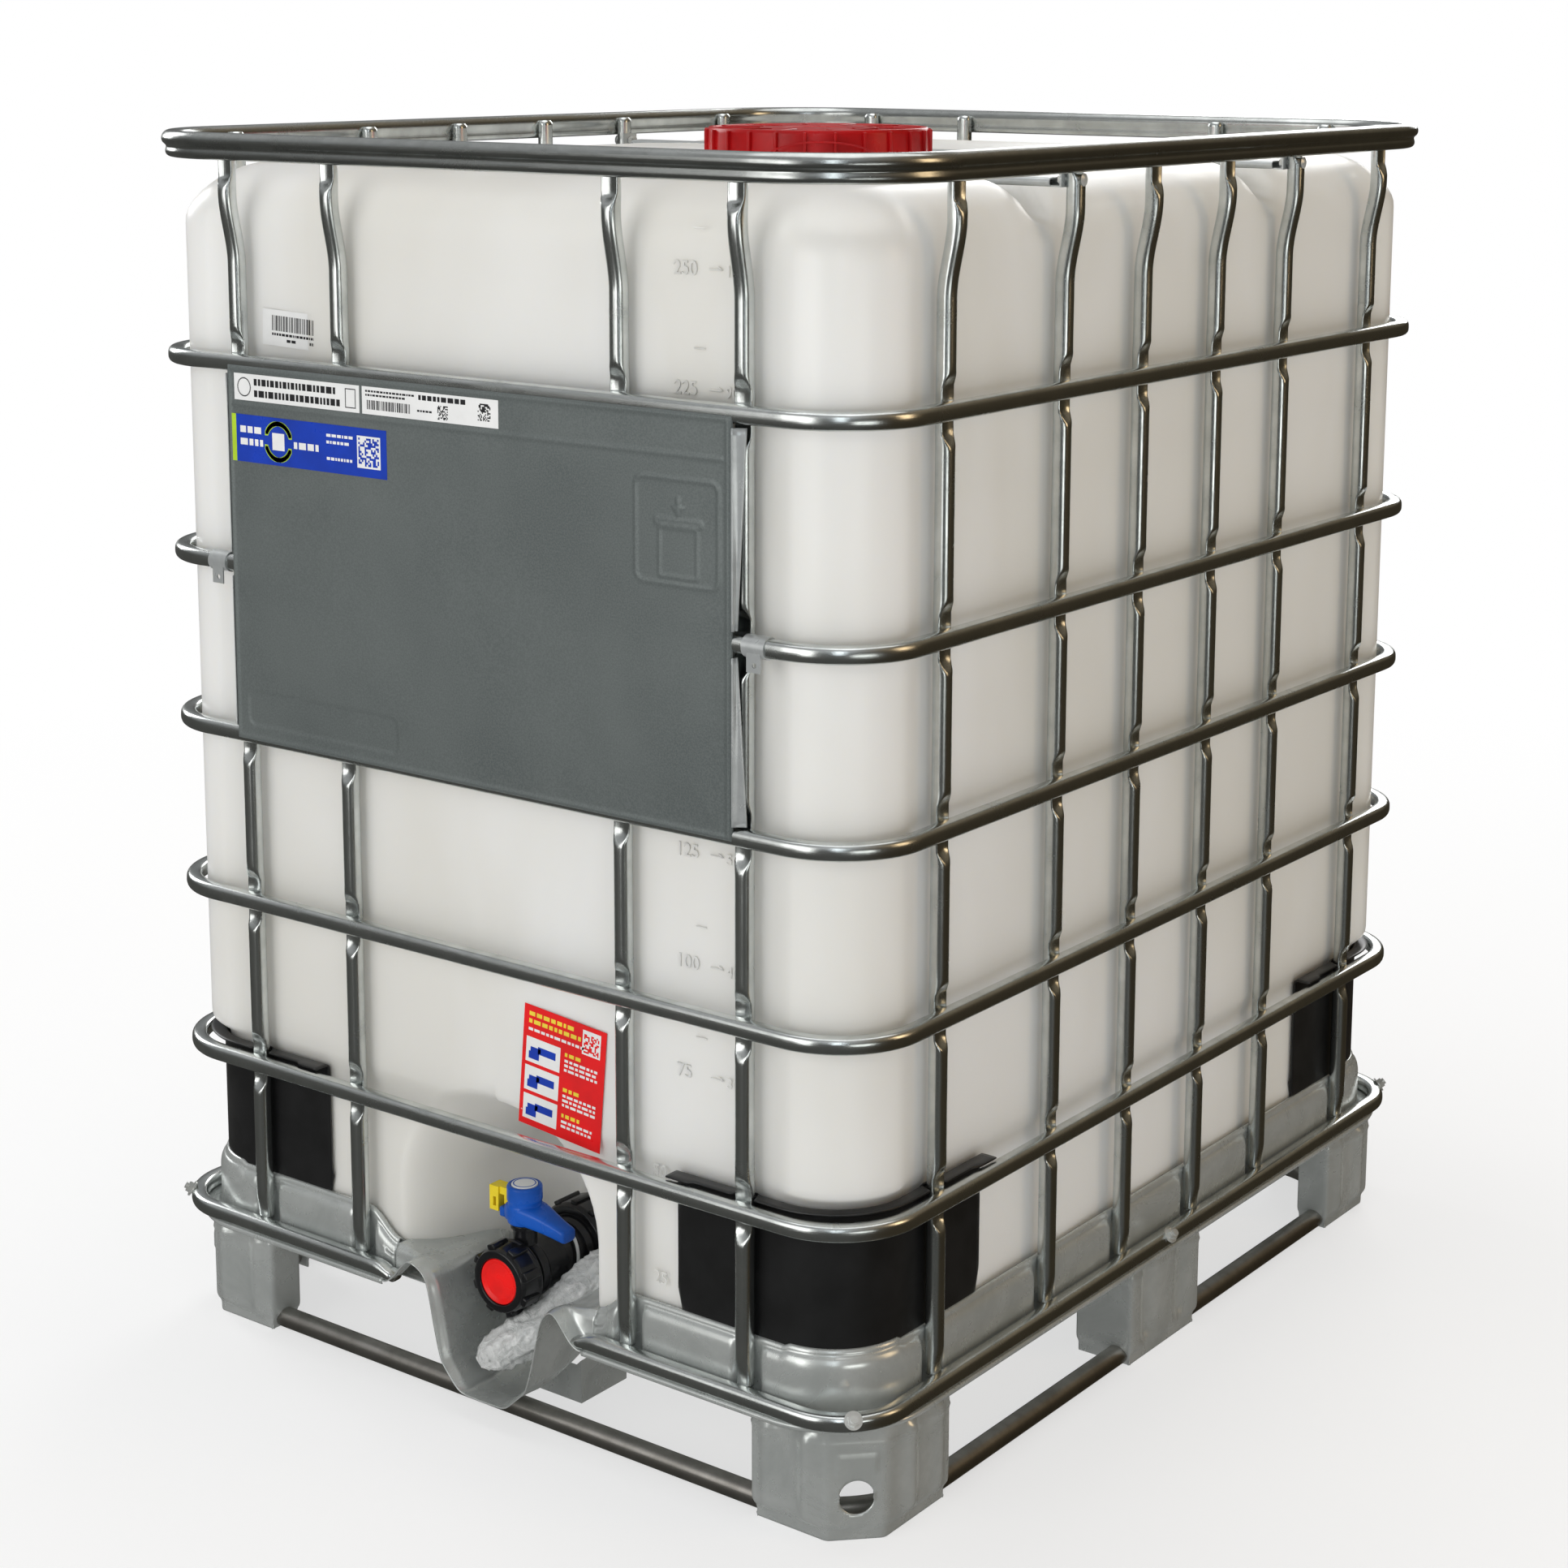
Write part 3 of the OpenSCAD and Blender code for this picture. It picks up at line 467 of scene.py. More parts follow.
GREY = moulded("plastic_grey", (0.24, 0.25, 0.26), 0.4, 0.05)
GASKET = moulded("rubber_gasket", (0.03, 0.03, 0.03), 0.65, 0.10)
PLATE_COAT = plate_coat()
FILM = clear_film()
PRINT_GRAIN = (600.0, 0.05)
LABEL_WHITE = moulded("film_white", (0.82, 0.82, 0.81), 0.35, 0.02, *PRINT_GRAIN)
LABEL_BLACK = moulded("print_black", (0.02, 0.02, 0.022), 0.4, 0.05, *PRINT_GRAIN)
LABEL_BLUE = moulded("print_blue", (0.008, 0.045, 0.42), 0.3, 0.05, *PRINT_GRAIN)
LABEL_LIME = moulded("print_lime", (0.42, 0.62, 0.03), 0.3, 0.05, *PRINT_GRAIN)
LABEL_RED = moulded("print_red", (0.80, 0.008, 0.010), 0.32, 0.04, *PRINT_GRAIN)
LABEL_YELLOW = moulded("print_yellow", (0.88, 0.66, 0.05), 0.32, 0.04, *PRINT_GRAIN)


def dress(*nodes, material):
    """Gives carried-over CAD nodes a finished material."""
    for n in nodes:
        for s in NODES[n].material_slots:
            s.material = material


# --- cage ---

def ring_loft(name, z, bend, gap=0.0):
    """One cage ring, squared a little; a ring with a gap is pressed flat at its two ends."""
    pts, nrm = rectangle_path(RING_A, RING_B, bend, 9.0, 16)
    if gap:
        pts, nrm = open_front(pts, nrm, gap)
    section = squircle(TUBE_R, TUBE_R, 2.7)
    out = []
    for k, (p, n) in enumerate(zip(pts, nrm)):
        flat = 1.0
        if gap:
            end = min(k, len(pts) - 1 - k)
            flat = 0.55 + 0.45 * float(smooth(end, 0.0, 3.0))
        u, v = section[:, 0], section[:, 1] * flat
        out.append(np.stack([p[0] + n[0] * u, p[1] + n[1] * u, z + v - TUBE_R * (1 - flat)], axis=1))
    return loft(name, out, TUBE, closed=not gap)


# Stations of an upright: either side of a ring, above the bottom ring, and at the pressed tip
DENT_MARKS = (0, 13, 18, 22, 25, 28, 31, 34, 38, 44)
FOOT_MARKS = (9, 14, 19, 24, 29, 34, 40)
TIP_MARKS = (-3, -1, 0)
# Heights between which an upright's top is pressed flat: beside the rim, and where a bar is bolted on
TOP_PRESS, BOLTED_PRESS = (1276.0, 1292.0), (1303.0, 1306.0)
PRESSED_HALF = 0.2


def upright_loft(name, x, y, nx, ny):
    """An upright: spoon-shaped dents either side of every ring, an S bend, a top pressed to the rim."""
    marks = [z + side * d for z in RING_Z for d in DENT_MARKS for side in (-1, 1)]
    marks += list(np.arange(UPRIGHT_FOOT, LEAN_START, 26.0))
    marks += list(np.arange(LEAN_START, UPRIGHT_TOP - 3, 4.0))
    marks += [LOW_RING_Z + d for d in FOOT_MARKS] + [UPRIGHT_TOP + d for d in TIP_MARKS]
    stations = sorted({round(z, 2) for z in marks if UPRIGHT_FOOT <= z <= UPRIGHT_TOP})
    bolted = ny == 0 and abs(abs(y) - CROSSBAR_Y) < 1.0
    base = squircle(TUBE_R, TUBE_R, 2.35)
    out = []
    for z in stations:
        u, v = base[:, 0], base[:, 1].copy()
        near = min(abs(z - c) for c in RING_Z)
        press = 1.0 - float(smooth(near, 20.0, 37.0))
        press = max(press, float(smooth(z, *(BOLTED_PRESS if bolted else TOP_PRESS))))
        floor = TUBE_R + (PRESSED_HALF - TUBE_R) * press
        crater = 0.030 * press * v ** 2
        u = np.minimum(u, floor + crater)
        v *= 1.0 + 0.07 * press
        foot = 1.0 - float(smooth(z, UPRIGHT_FOOT, UPRIGHT_FOOT + 30.0))
        u = np.where(u > 0, u * (1.0 - 0.45 * foot), u * (1.0 - 0.1 * foot))
        lean = float(smooth(z, LEAN_START, LEAN_TOP)) * LEAN_OUT
        tip = 1.0 - 0.25 * float(smooth(z, UPRIGHT_TOP - 3.0, UPRIGHT_TOP))
        u, v = u * tip, v * tip
        w = u + lean
        out.append(np.stack([x + nx * w - ny * v, y + ny * w + nx * v, np.full(len(u), z)], axis=1))
    return loft(name, out, TUBE)


def build_cage():
    for k, z in enumerate(RING_Z):
        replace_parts(ring_loft("cage_ring_%d" % (k + 1), z, RING_BEND), "ring_%d" % (k + 1))
    low = ring_loft("cage_bottom_ring", LOW_RING_Z, LOW_RING_BEND, LOW_RING_GAP)
    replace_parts(low, "bottom_ring")
    for node, side in (("front_uprights", -1), ("rear_uprights", 1)):
        row = [upright_loft("up", x, side * (RING_B - UPRIGHT_INSET), 0, side) for x in UPRIGHT_X]
        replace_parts(join(row, "cage_" + node), node)
    for node, side in (("left_uprights", -1), ("right_uprights", 1)):
        row = [upright_loft("up", side * (RING_A - UPRIGHT_INSET), y, side, 0) for y in UPRIGHT_Y]
        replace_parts(join(row, "cage_" + node), node)
    build_rim()
    dress("crossbar_front", "crossbar_rear", material=TUBE_FLAT)
    dress("crossbar_bolts", "ring_bolts", "chute_rivet", material=ZINC)
    dress("plate_sleeves", material=TUBE_FLAT)


def build_rim():
    """The top rim: a rolled section, two ridges outside and a flat inside."""
    outline = [(-6.5, 1306.3), (-3.0, 1306.0), (1.5, 1306.4), (4.6, 1308.4), (5.8, 1311.6), (5.2, 1315.0),
               (4.2, 1317.2), (5.2, 1319.2), (8.0, 1321.0), (9.4, 1324.2), (9.2, 1328.2), (7.2, 1331.8),
               (3.6, 1334.2), (0.0, 1335.0), (-4.2, 1334.0), (-7.6, 1331.2), (-9.2, 1327.0), (-8.9, 1322.6),
               (-7.4, 1319.0), (-6.8, 1315.0), (-7.4, 1310.6)]
    u, z = np.array(outline).T
    path = rectangle_path(490.5, 590.5, 130.5, 12.0, 26)
    rim = loft("cage_top_rim", sweep(*path, u, z), RIM, closed=True)
    rounding = rim.modifiers.new("round", "SUBSURF")
    rounding.levels = rounding.render_levels = 1
    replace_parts(rim, "top_rim")


# --- bottle ---

def rounded_outline(a, b, r, count):
    """count = (front, corner, side, back) points; the first point is the front's left end."""
    front, corner, side, back = count

    def arc(cx, cy, start):
        return [(cx + r * u, cy + r * v) for u, v in quarter_turn(start, corner)]

    pts = straight((r - a, -b), (a - r, -b), front) + arc(a - r, r - b, -math.pi / 2)
    pts += straight((a, r - b), (a, b - r), side) + arc(a - r, b - r, 0.0)
    pts += straight((a - r, b), (r - a, b), back) + arc(r - a, b - r, math.pi / 2)
    pts += straight((-a, b - r), (-a, r - b), side) + arc(r - a, r - b, math.pi)
    return np.array(pts)


def bottle_rows(count):
    """Outlines from the foot up the sides, over the shoulders and in to the neck."""
    rows = []
    total = count[0] + 4 * count[1] + 2 * count[2] + count[3]
    low_inset, foot_round, shoulder = 4.0, 36.0, 64.0

    def add(inset, r, z):
        outline = rounded_outline(BOTTLE_A - inset, BOTTLE_B - inset, r, count)
        rows.append(np.column_stack([outline, np.full(total, z)]))

    for q in np.radians(np.linspace(0.0, 90.0, 9)):
        inset = low_inset + foot_round * (1 - math.sin(q))
        add(inset, BOTTLE_BEND - inset * 0.4, BOTTLE_FOOT + foot_round * (1 - math.cos(q)))
    for z in np.concatenate([np.arange(168.0, 326.0, 5.0), np.arange(328.0, 352.0, 3.0)]):
        add(low_inset * (1 - float(smooth(z, 326.0, 348.0))), BOTTLE_BEND, z)
    for z in np.arange(356.0, 1232.0, 12.0):
        add(0.0, BOTTLE_BEND, z)
    for q in np.radians(np.linspace(0.0, 90.0, 15)):
        inset = shoulder * (1 - math.cos(q))
        add(inset, BOTTLE_BEND - inset * 0.3, BOTTLE_TOP - shoulder + shoulder * math.sin(q))
    edge = rows[-1][:, :2]
    neck = edge / np.linalg.norm(edge, axis=1)[:, None] * NECK_FOOT
    for t in np.linspace(0.0, 1.0, 26)[1:]:
        w = t ** 0.9
        rows.append(np.column_stack([edge * (1 - w) + neck * w, np.full(total, BOTTLE_TOP)]))
    for r, z in ((114.5, 1301.2), (112.4, 1304.0), (112.0, 1312.0), (112.0, 1328.0), (107.0, 1328.0),
                 (107.0, 1300.0)):
        rows.append(np.column_stack([neck / NECK_FOOT * r, np.full(total, z)]))
    return np.array(rows)


def panel_wave(at, uprights):
    """0 at each upright and 1 midway between two, over the span of a row of them."""
    span = np.clip((at - uprights[0]) / (uprights[-1] - uprights[0]), 0, 1)
    return 0.5 - 0.5 * np.cos(span * 2 * math.pi * (len(uprights) - 1))


RECESS_HALF, RECESS_SPRING, RECESS_DEPTH = 118.0, 218.0, 168.0


def shape_bottle(p):
    """Moves the plain bottle's points into its corners, grooves, recess and hand-soft faces."""
    x, y, z = p[..., 0].copy(), p[..., 1].copy(), p[..., 2].copy()
    # corners stand further out than the flats between the outer uprights
    corner = smooth(np.abs(x), 352.0, 382.0) * smooth(np.abs(y), 450.0, 482.0)
    rise = smooth(z, 334.0, 352.0) * (1 - 0.9 * smooth(z, 1240.0, 1299.0))
    x += np.sign(x) * 10.0 * corner * rise
    y += np.sign(y) * 10.0 * corner * rise
    # the faces swell very slightly between the uprights
    side_face = smooth(np.abs(x), 440.0, 452.0) * (1 - corner) * (1 - smooth(z, 1200.0, 1260.0))
    end_face = smooth(np.abs(y), 540.0, 551.0) * (1 - corner) * (1 - smooth(z, 1200.0, 1260.0))
    wave_y, wave_x = panel_wave(y, UPRIGHT_Y), panel_wave(x, UPRIGHT_X)
    x += np.sign(x) * side_face * (wave_y * 2.2 - 1.4)
    y += np.sign(y) * end_face * (wave_x * 2.0 - 1.4)
    # seats for the crossbars, and the scooped shoulders at their ends
    over = smooth(z, 1262.0, 1290.0)
    for bar in (-CROSSBAR_Y, CROSSBAR_Y):
        d = np.abs(y - bar)
        z -= (1 - smooth(d, 13.0, 27.0)) * 11.0 * over * smooth(np.hypot(x, y), 150.0, 190.0)
        scoop = np.exp(-(d / 30.0) ** 2) * smooth(np.abs(x), 350.0, 430.0) * smooth(z, 1225.0, 1285.0)
        z -= 15.0 * scoop
        x -= np.sign(x) * 6.0 * scoop
    # a low swell between the bars and round the neck
    top = smooth(z, 1292.0, 1299.5)
    from_neck = np.hypot(x, y)
    z -= 2.4 * top * smooth(from_neck, 120.0, 150.0) * (1 - smooth(from_neck, 180.0, 240.0))
    # the valve recess, arched on top: a long soft flank on the left, a fuller opening on the right
    arch = RECESS_HALF - np.where(z > RECESS_SPRING, np.hypot(x, z - RECESS_SPRING), np.abs(x))
    inside = np.where(x < 0, smooth(arch, -26.0, 84.0), smooth(arch, -18.0, 56.0))
    lip = np.exp(-((arch + 4.0) / 11.0) ** 2) * 1.6
    front = (y < -480.0) & (z < 360.0)
    y = np.where(front, y + RECESS_DEPTH * inside ** 0.85 - lip, y)
    return np.stack([x, y, z], axis=-1)


def build_bottle():
    count = (190, 16, 120, 70)
    rows = shape_bottle(bottle_rows(count))
    n, m = rows.shape[:2]
    faces = grid_faces(n, m, wrap_cols=True)
    faces.append(tuple(range(m - 1, -1, -1)))
    bottle = piece("bottle_shell", rows.reshape(-1, 3), faces, BOTTLE)
    face_outward(bottle)
    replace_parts(bottle, "inner_bottle")
    build_scale()


NUMERAL_HEIGHT, NUMERAL_BEVEL = 0.7, 0.25


def raised(name, text, x, z, size, y, material):
    """Moulded-in numerals standing off the front face."""
    curve = bpy.data.curves.new(name, "FONT")
    curve.body = text
    curve.size = size * MM
    curve.extrude = NUMERAL_HEIGHT * MM / 2
    curve.bevel_depth = NUMERAL_BEVEL * MM
    obj = bpy.data.objects.new(name, curve)
    bpy.context.collection.objects.link(obj)
    obj.location = (x * MM, y * MM, z * MM)
    obj.rotation_euler = (math.pi / 2, 0, 0)
    bpy.context.view_layer.update()
    solid = obj.evaluated_get(bpy.context.evaluated_depsgraph_get())
    mesh = bpy.data.meshes.new_from_object(solid)
    mesh.transform(obj.matrix_world)
    bpy.data.objects.remove(obj)
    mesh.materials.clear()
    mesh.materials.append(material)
    made = bpy.data.objects.new(name, mesh)
    bpy.context.collection.objects.link(made)
    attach(made, "body")
    return made


def rod_mesh(p, q, r, n=8):
    """A round bar between two points with softened ends, as points and faces."""
    p, q = np.array(p, float), np.array(q, float)
    d = (q - p) / np.linalg.norm(q - p)
    side = np.cross(d, [0, 0, 1.0]) if abs(d[2]) < 0.9 else np.cross(d, [0, 1.0, 0])
    side /= np.linalg.norm(side)
    up = np.cross(d, side)
    rings = []
    for at, scale in ((p - d * r * 0.8, 0.35), (p, 1.0), (q, 1.0), (q + d * r * 0.8, 0.35)):
        t = np.linspace(0, 2 * math.pi, n, endpoint=False)
        rings.append(at + scale * r * (np.cos(t)[:, None] * side + np.sin(t)[:, None] * up))
    verts = np.concatenate(rings)
    ends = [tuple(range(n)), tuple(range(4 * n - 1, 3 * n - 1, -1))]
    return verts, grid_faces(4, n, wrap_cols=True) + ends


def bars(name, rods, material):
    """Several round bars as one piece."""
    verts, faces, base = [], [], 0
    for p, q, r in rods:
        v, f = rod_mesh(p, q, r)
        verts.append(v)
        faces += [tuple(i + base for i in face) for face in f]
        base += len(v)
    made = piece(name, np.concatenate(verts), faces, material)
    weld(made, 1e-7)
    return made


def build_scale():
    """Level marks moulded into the front face: ticks with plain round numbers."""
    rods, words = [], []
    y, first, step, drop = -555.2, 215.0, 112.0, 6.0
    behind_plate, bare_below = (690.0, 1100.0), 345.0

    def number(kind, k, each, x, z, size):
        words.append(raised("scale_%s_%d" % (kind, k), str(each * (k + 1)), x, z - drop, size, y,
                            BOTTLE))

    for k in range(10):
        z = first + k * step
        if behind_plate[0] < z < behind_plate[1]:
            continue
        if z < bare_below:
            number("number", k, 25, 211.0, z, 19.0)
            continue
        rods.append(((286.0, y, z), (300.0, y, z), 0.9))
        rods.append(((296.0, y, z + 3.0), (301.0, y, z), 0.8))
        rods.append(((268.0, y, z + 38.0), (280.0, y, z + 38.0), 0.9))
        number("number", k, 25, 243.0, z, 19.0)
        number("litre", k, 100, 305.0, z, 15.0)
    bars("scale_ticks", rods, BOTTLE)
    join(words, "scale_numbers")


# --- label plate and labels ---

def ridge(d, width):
    return np.exp(-(d / width) ** 2)


def box_distance(x, z, x0, x1, z0, z1, r):
    """Signed distance to a rounded rectangle's outline, negative inside."""
    dx = np.abs(x - (x0 + x1) / 2) - (x1 - x0) / 2 + r
    dz = np.abs(z - (z0 + z1) / 2) - (z1 - z0) / 2 + r
    return np.hypot(np.maximum(dx, 0), np.maximum(dz, 0)) + np.minimum(np.maximum(dx, dz), 0) - r


def build_plate():
    x0, x1, z0, z1 = PLATE
    x, z = np.meshgrid(np.linspace(x0, x1, 400), np.linspace(z0, z1, 240))
    edge = np.minimum(np.minimum(x - x0, x1 - x), np.minimum(z - z0, z1 - z))
    # rolled edge, the bead under the labels, and the plain load pictogram in its frame
    h = 1.4 * ridge(edge - 4.2, 2.4) - 2.2 * ridge(edge, 1.8)
    h += 1.3 * ridge(z - 1053.0, 2.0) * smooth(edge, 6, 12)
    h += 1.4 * ridge(box_distance(x, z, 223, 322, 930, 1030, 9), 1.9)
    h += 1.2 * ridge(box_distance(x, z, 252, 297, 937, 984, 1.5), 1.7)
    h += 1.2 * ridge(box_distance(x, z, 247, 302, 987, 991, 1.5), 2.0)
    off_centre = np.abs(x - 274.5)
    arrow = (off_centre < (z - 995.0) * 0.9) & (z < 1004) & (z > 995)
    stem = (off_centre < 3.2) & (z >= 1004) & (z < 1013)
    h += 1.1 * (arrow | stem)
    # the sunk blank panel, and slow unevenness that leaves the labels flat
    h -= 1.2 * (1 - smooth(box_distance(x, z, -318, -96, 709, 748, 10), -3.0, 1.5))
    slow = 0.6 * np.sin(x / 120.0 + 0.8) * np.cos(z / 95.0) + 0.4 * np.sin(x / 61.0 + z / 83.0) + 1.0
    under = np.minimum(box_distance(x, z, -331, -104, 993, 1043, 2),
                       box_distance(x, z, -325, 49, 1058, 1086, 2))
    h += slow * smooth(edge, 6, 60) * smooth(under, 1.0, 40.0)
    verts = np.stack([x, SHEET_Y - h, z], -1).reshape(-1, 3)
    obj = piece("label_plate_sheet", verts, grid_faces(*x.shape), PLATE_COAT)
    thicken(obj, PLATE_THICK, 1.0)
    for side in (-1, 1):
        for low, high, wide_at_top in ((706, 868, False), (893, 1083, True)):
            side_flange(side, low, high, wide_at_top)
    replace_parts(obj, "label_plate")


def side_flange(side, z0, z1, wide_at_top):
    """The plate's folded side edge: a bright strip, narrow at the middle ring and wide at the end."""
    zs = np.linspace(z0, z1, 26)
    t = (zs - z0) / (z1 - z0)
    t = t if wide_at_top else 1.0 - t
    verts = []
    for z, w in zip(zs, t):
        reach, back = 1.6 + 8.6 * w, 6.5 + 3.0 * w
        for dx, dy in ((-0.4, -0.2), (0.5, 1.6), (0.35 * reach, 0.5 * back), (reach - 1.8, back - 1.6),
                       (reach - 0.3, back - 1.2), (reach + 0.2, back), (reach - 0.9, back + 0.9)):
            verts.append((side * (PLATE[1] + dx), SHEET_Y + dy, z))
    obj = piece("plate_flange_%s_%d" % ("left" if side < 0 else "right", int(z0)), verts,
                grid_faces(len(zs), 7), TUBE_FLAT)
    thicken(obj, PLATE_THICK)


class Sheet:
    """A flat label in the front plane, tilted in degrees; rectangles are given from its centre."""

    def __init__(self, cx, cz, y, tilt=0.0):
        self.cx, self.cz, self.y, self.tilt = cx, cz, y, math.radians(tilt)

    def point(self, x, z, lift=0.0):
        c, s = math.cos(self.tilt), math.sin(self.tilt)
        return (self.cx + x * c + z * s, self.y - lift, self.cz - x * s + z * c)

    def blocks(self, name, rects, material, lift=0.12):
        verts, faces = [], []
        for x0, x1, z0, z1 in rects:
            k = len(verts)
            verts += [self.point(x, z, lift) for x, z in ((x0, z0), (x1, z0), (x1, z1), (x0, z1))]
            faces.append((k, k + 1, k + 2, k + 3))
        return piece(name, verts, faces, material, shade=False)


def code_bars(rng, x0, x1, z0, z1):
    """Random upright bars, readable as nothing."""
    out, x = [], x0
    while x < x1:
        w = rng.choice((0.7, 0.7, 1.2, 1.9))
        out.append((x, min(x + w, x1), z0, z1))
        x += w + rng.choice((0.7, 1.0, 1.6))
    return out


def matrix(rng, x0, z0, size, cells=13):
    """A generic square of random cells, readable as nothing."""
    c = size / cells
    out = []
    for i in range(cells):
        for j in range(cells):
            if rng.random() < 0.5:
                out.append((x0 + i * c, x0 + (i + 1) * c, z0 + j * c, z0 + (j + 1) * c))
    return out


def dashes(rng, x0, x1, z, height, unit):
    """A row of plain blocks where print would be."""
    out, x = [], x0
    while x < x1 - unit * 0.6:
        w = min(unit * rng.uniform(0.5, 1.6), x1 - x)
        out.append((x, x + w, z, z + height))
        x += w + unit * 0.35
    return out


def print_rows(rng, *rows):
    """Several rows of dashes, each (x0, x1, z, height, unit), drawn in the order given."""
    return [block for row in rows for block in dashes(rng, *row)]


def ring_blocks(cx, cz, r, width, start, stop, n=28):
    out = []
    for k in range(n):
        q = math.radians(start + (stop - start) * k / n)
        x, z = cx + r * math.cos(q), cz + r * math.sin(q)
        out.append((x - width / 2, x + width / 2, z - width / 2, z + width / 2))
    return out


def print_on_plate(rng, y):
    """The two white labels: dashes, bars and random squares in place of print."""
    rows = print_rows(rng, (-62, 58, 2.5, 7.0, 5.2), (-62, 66, -9.5, 7.0, 5.2))
    rows += ring_blocks(-77, 0, 9.5, 1.3, 0, 360, 40)
    rows += [(72, 73, -10, 10), (86, 87, -10, 10), (72, 87, 9, 10), (72, 87, -10, -9)]
    Sheet(-233, 1072, y).blocks("print_plate_left", rows, LABEL_BLACK)
    rows = print_rows(rng, (-88, -20, 8.5, 2.0, 3.0), (-88, -30, 4.5, 2.0, 3.0))
    rows += code_bars(rng, -86, -26, -9.0, 0.5) + dashes(rng, -14, 52, 6.0, 5.0, 5.0)
    rows += matrix(rng, 12, -11.5, 14, 11) + matrix(rng, 66, -8, 17, 12)
    rows += dashes(rng, -16, 4, -6.0, 2.0, 3.0)
    Sheet(-44, 1072, y).blocks("print_plate_right", rows, LABEL_BLACK)


def print_service(rng, y):
    """The blue label: a lime strip, a split ring, a plain pin and a random square."""
    service = Sheet(-217.5, 1018, y)
    service.blocks("print_service_strip", [(-113.5, -106, -25, 25)], LABEL_LIME)
    rows = print_rows(rng, (-100, -66, 6, 7, 7), (-100, -66, -7, 7, 7), (-20, 20, -5, 7, 7),
                      (28, 66, 12, 3, 4), (28, 62, 5, 3, 4), (28, 66, -12, 3, 4))
    rows += [(-52, -34, -9, 9), (72, 105, -16, 17)]
    service.blocks("print_service_white", rows, LABEL_WHITE)
    service.blocks("print_service_code", matrix(rng, 74, -14, 29), LABEL_BLUE, 0.2)
    ring = ring_blocks(-43, 0, 19, 5, 20, 160) + ring_blocks(-43, 0, 19, 5, 200, 340)
    service.blocks("print_service_ring", ring, LABEL_LIME, 0.2)


def print_on_bottle(rng, y):
    """The bar code sticker above the plate and the red sticker above the valve."""
    rows = code_bars(rng, -36, 34, -3, 13)
    rows += print_rows(rng, (-36, 36, -8, 2.6, 3), (-14, 2, -14, 3, 4), (20, 42, -14, 3, 3))
    Sheet(-265, 1131, y, 2).blocks("print_barcode", rows, LABEL_BLACK)
    warn = Sheet(92, 395, y, 5)
    rows = print_rows(rng, (-48, 12, 54, 4.5, 6), (-48, 22, 46, 4.5, 6), (2, 26, 24, 4, 6),
                      (2, 26, -14, 4, 6), (2, 26, -42, 4, 6))
    warn.blocks("print_valve_yellow", rows, LABEL_YELLOW)
    icons = (4, -27, -58)
    rows = dashes(rng, -48, 26, 38, 3, 5) + [(24, 48, 34, 60)] + [(-50, -4, z, z + 27) for z in icons]
    rows += print_rows(rng, *((2, 46, z, 2.8, 5) for z in (18, 13, 8, -20, -25, -30, -48, -53)))
    warn.blocks("print_valve_white", rows, LABEL_WHITE)
    warn.blocks("print_valve_code", matrix(rng, 26, 36, 20, 11), LABEL_RED, 0.2)
    rows = []
    for z in icons:
        rows += [(-46, -32, z + 4, z + 12), (-34, -10, z + 11, z + 19), (-44, -30, z + 12, z + 17)]
    warn.blocks("print_valve_icons", rows, LABEL_BLUE, 0.2)


def build_labels():
    rng = random.Random(7)
    dress("plate_labels", "barcode_label", material=LABEL_WHITE)
    dress("service_label", material=LABEL_BLUE)
    dress("valve_label", material=LABEL_RED)
    print_on_plate(rng, SHEET_Y - 0.3)
    print_service(rng, SHEET_Y - 0.3)
    print_on_bottle(rng, -BOTTLE_B - 0.4)


# --- corner protectors ---

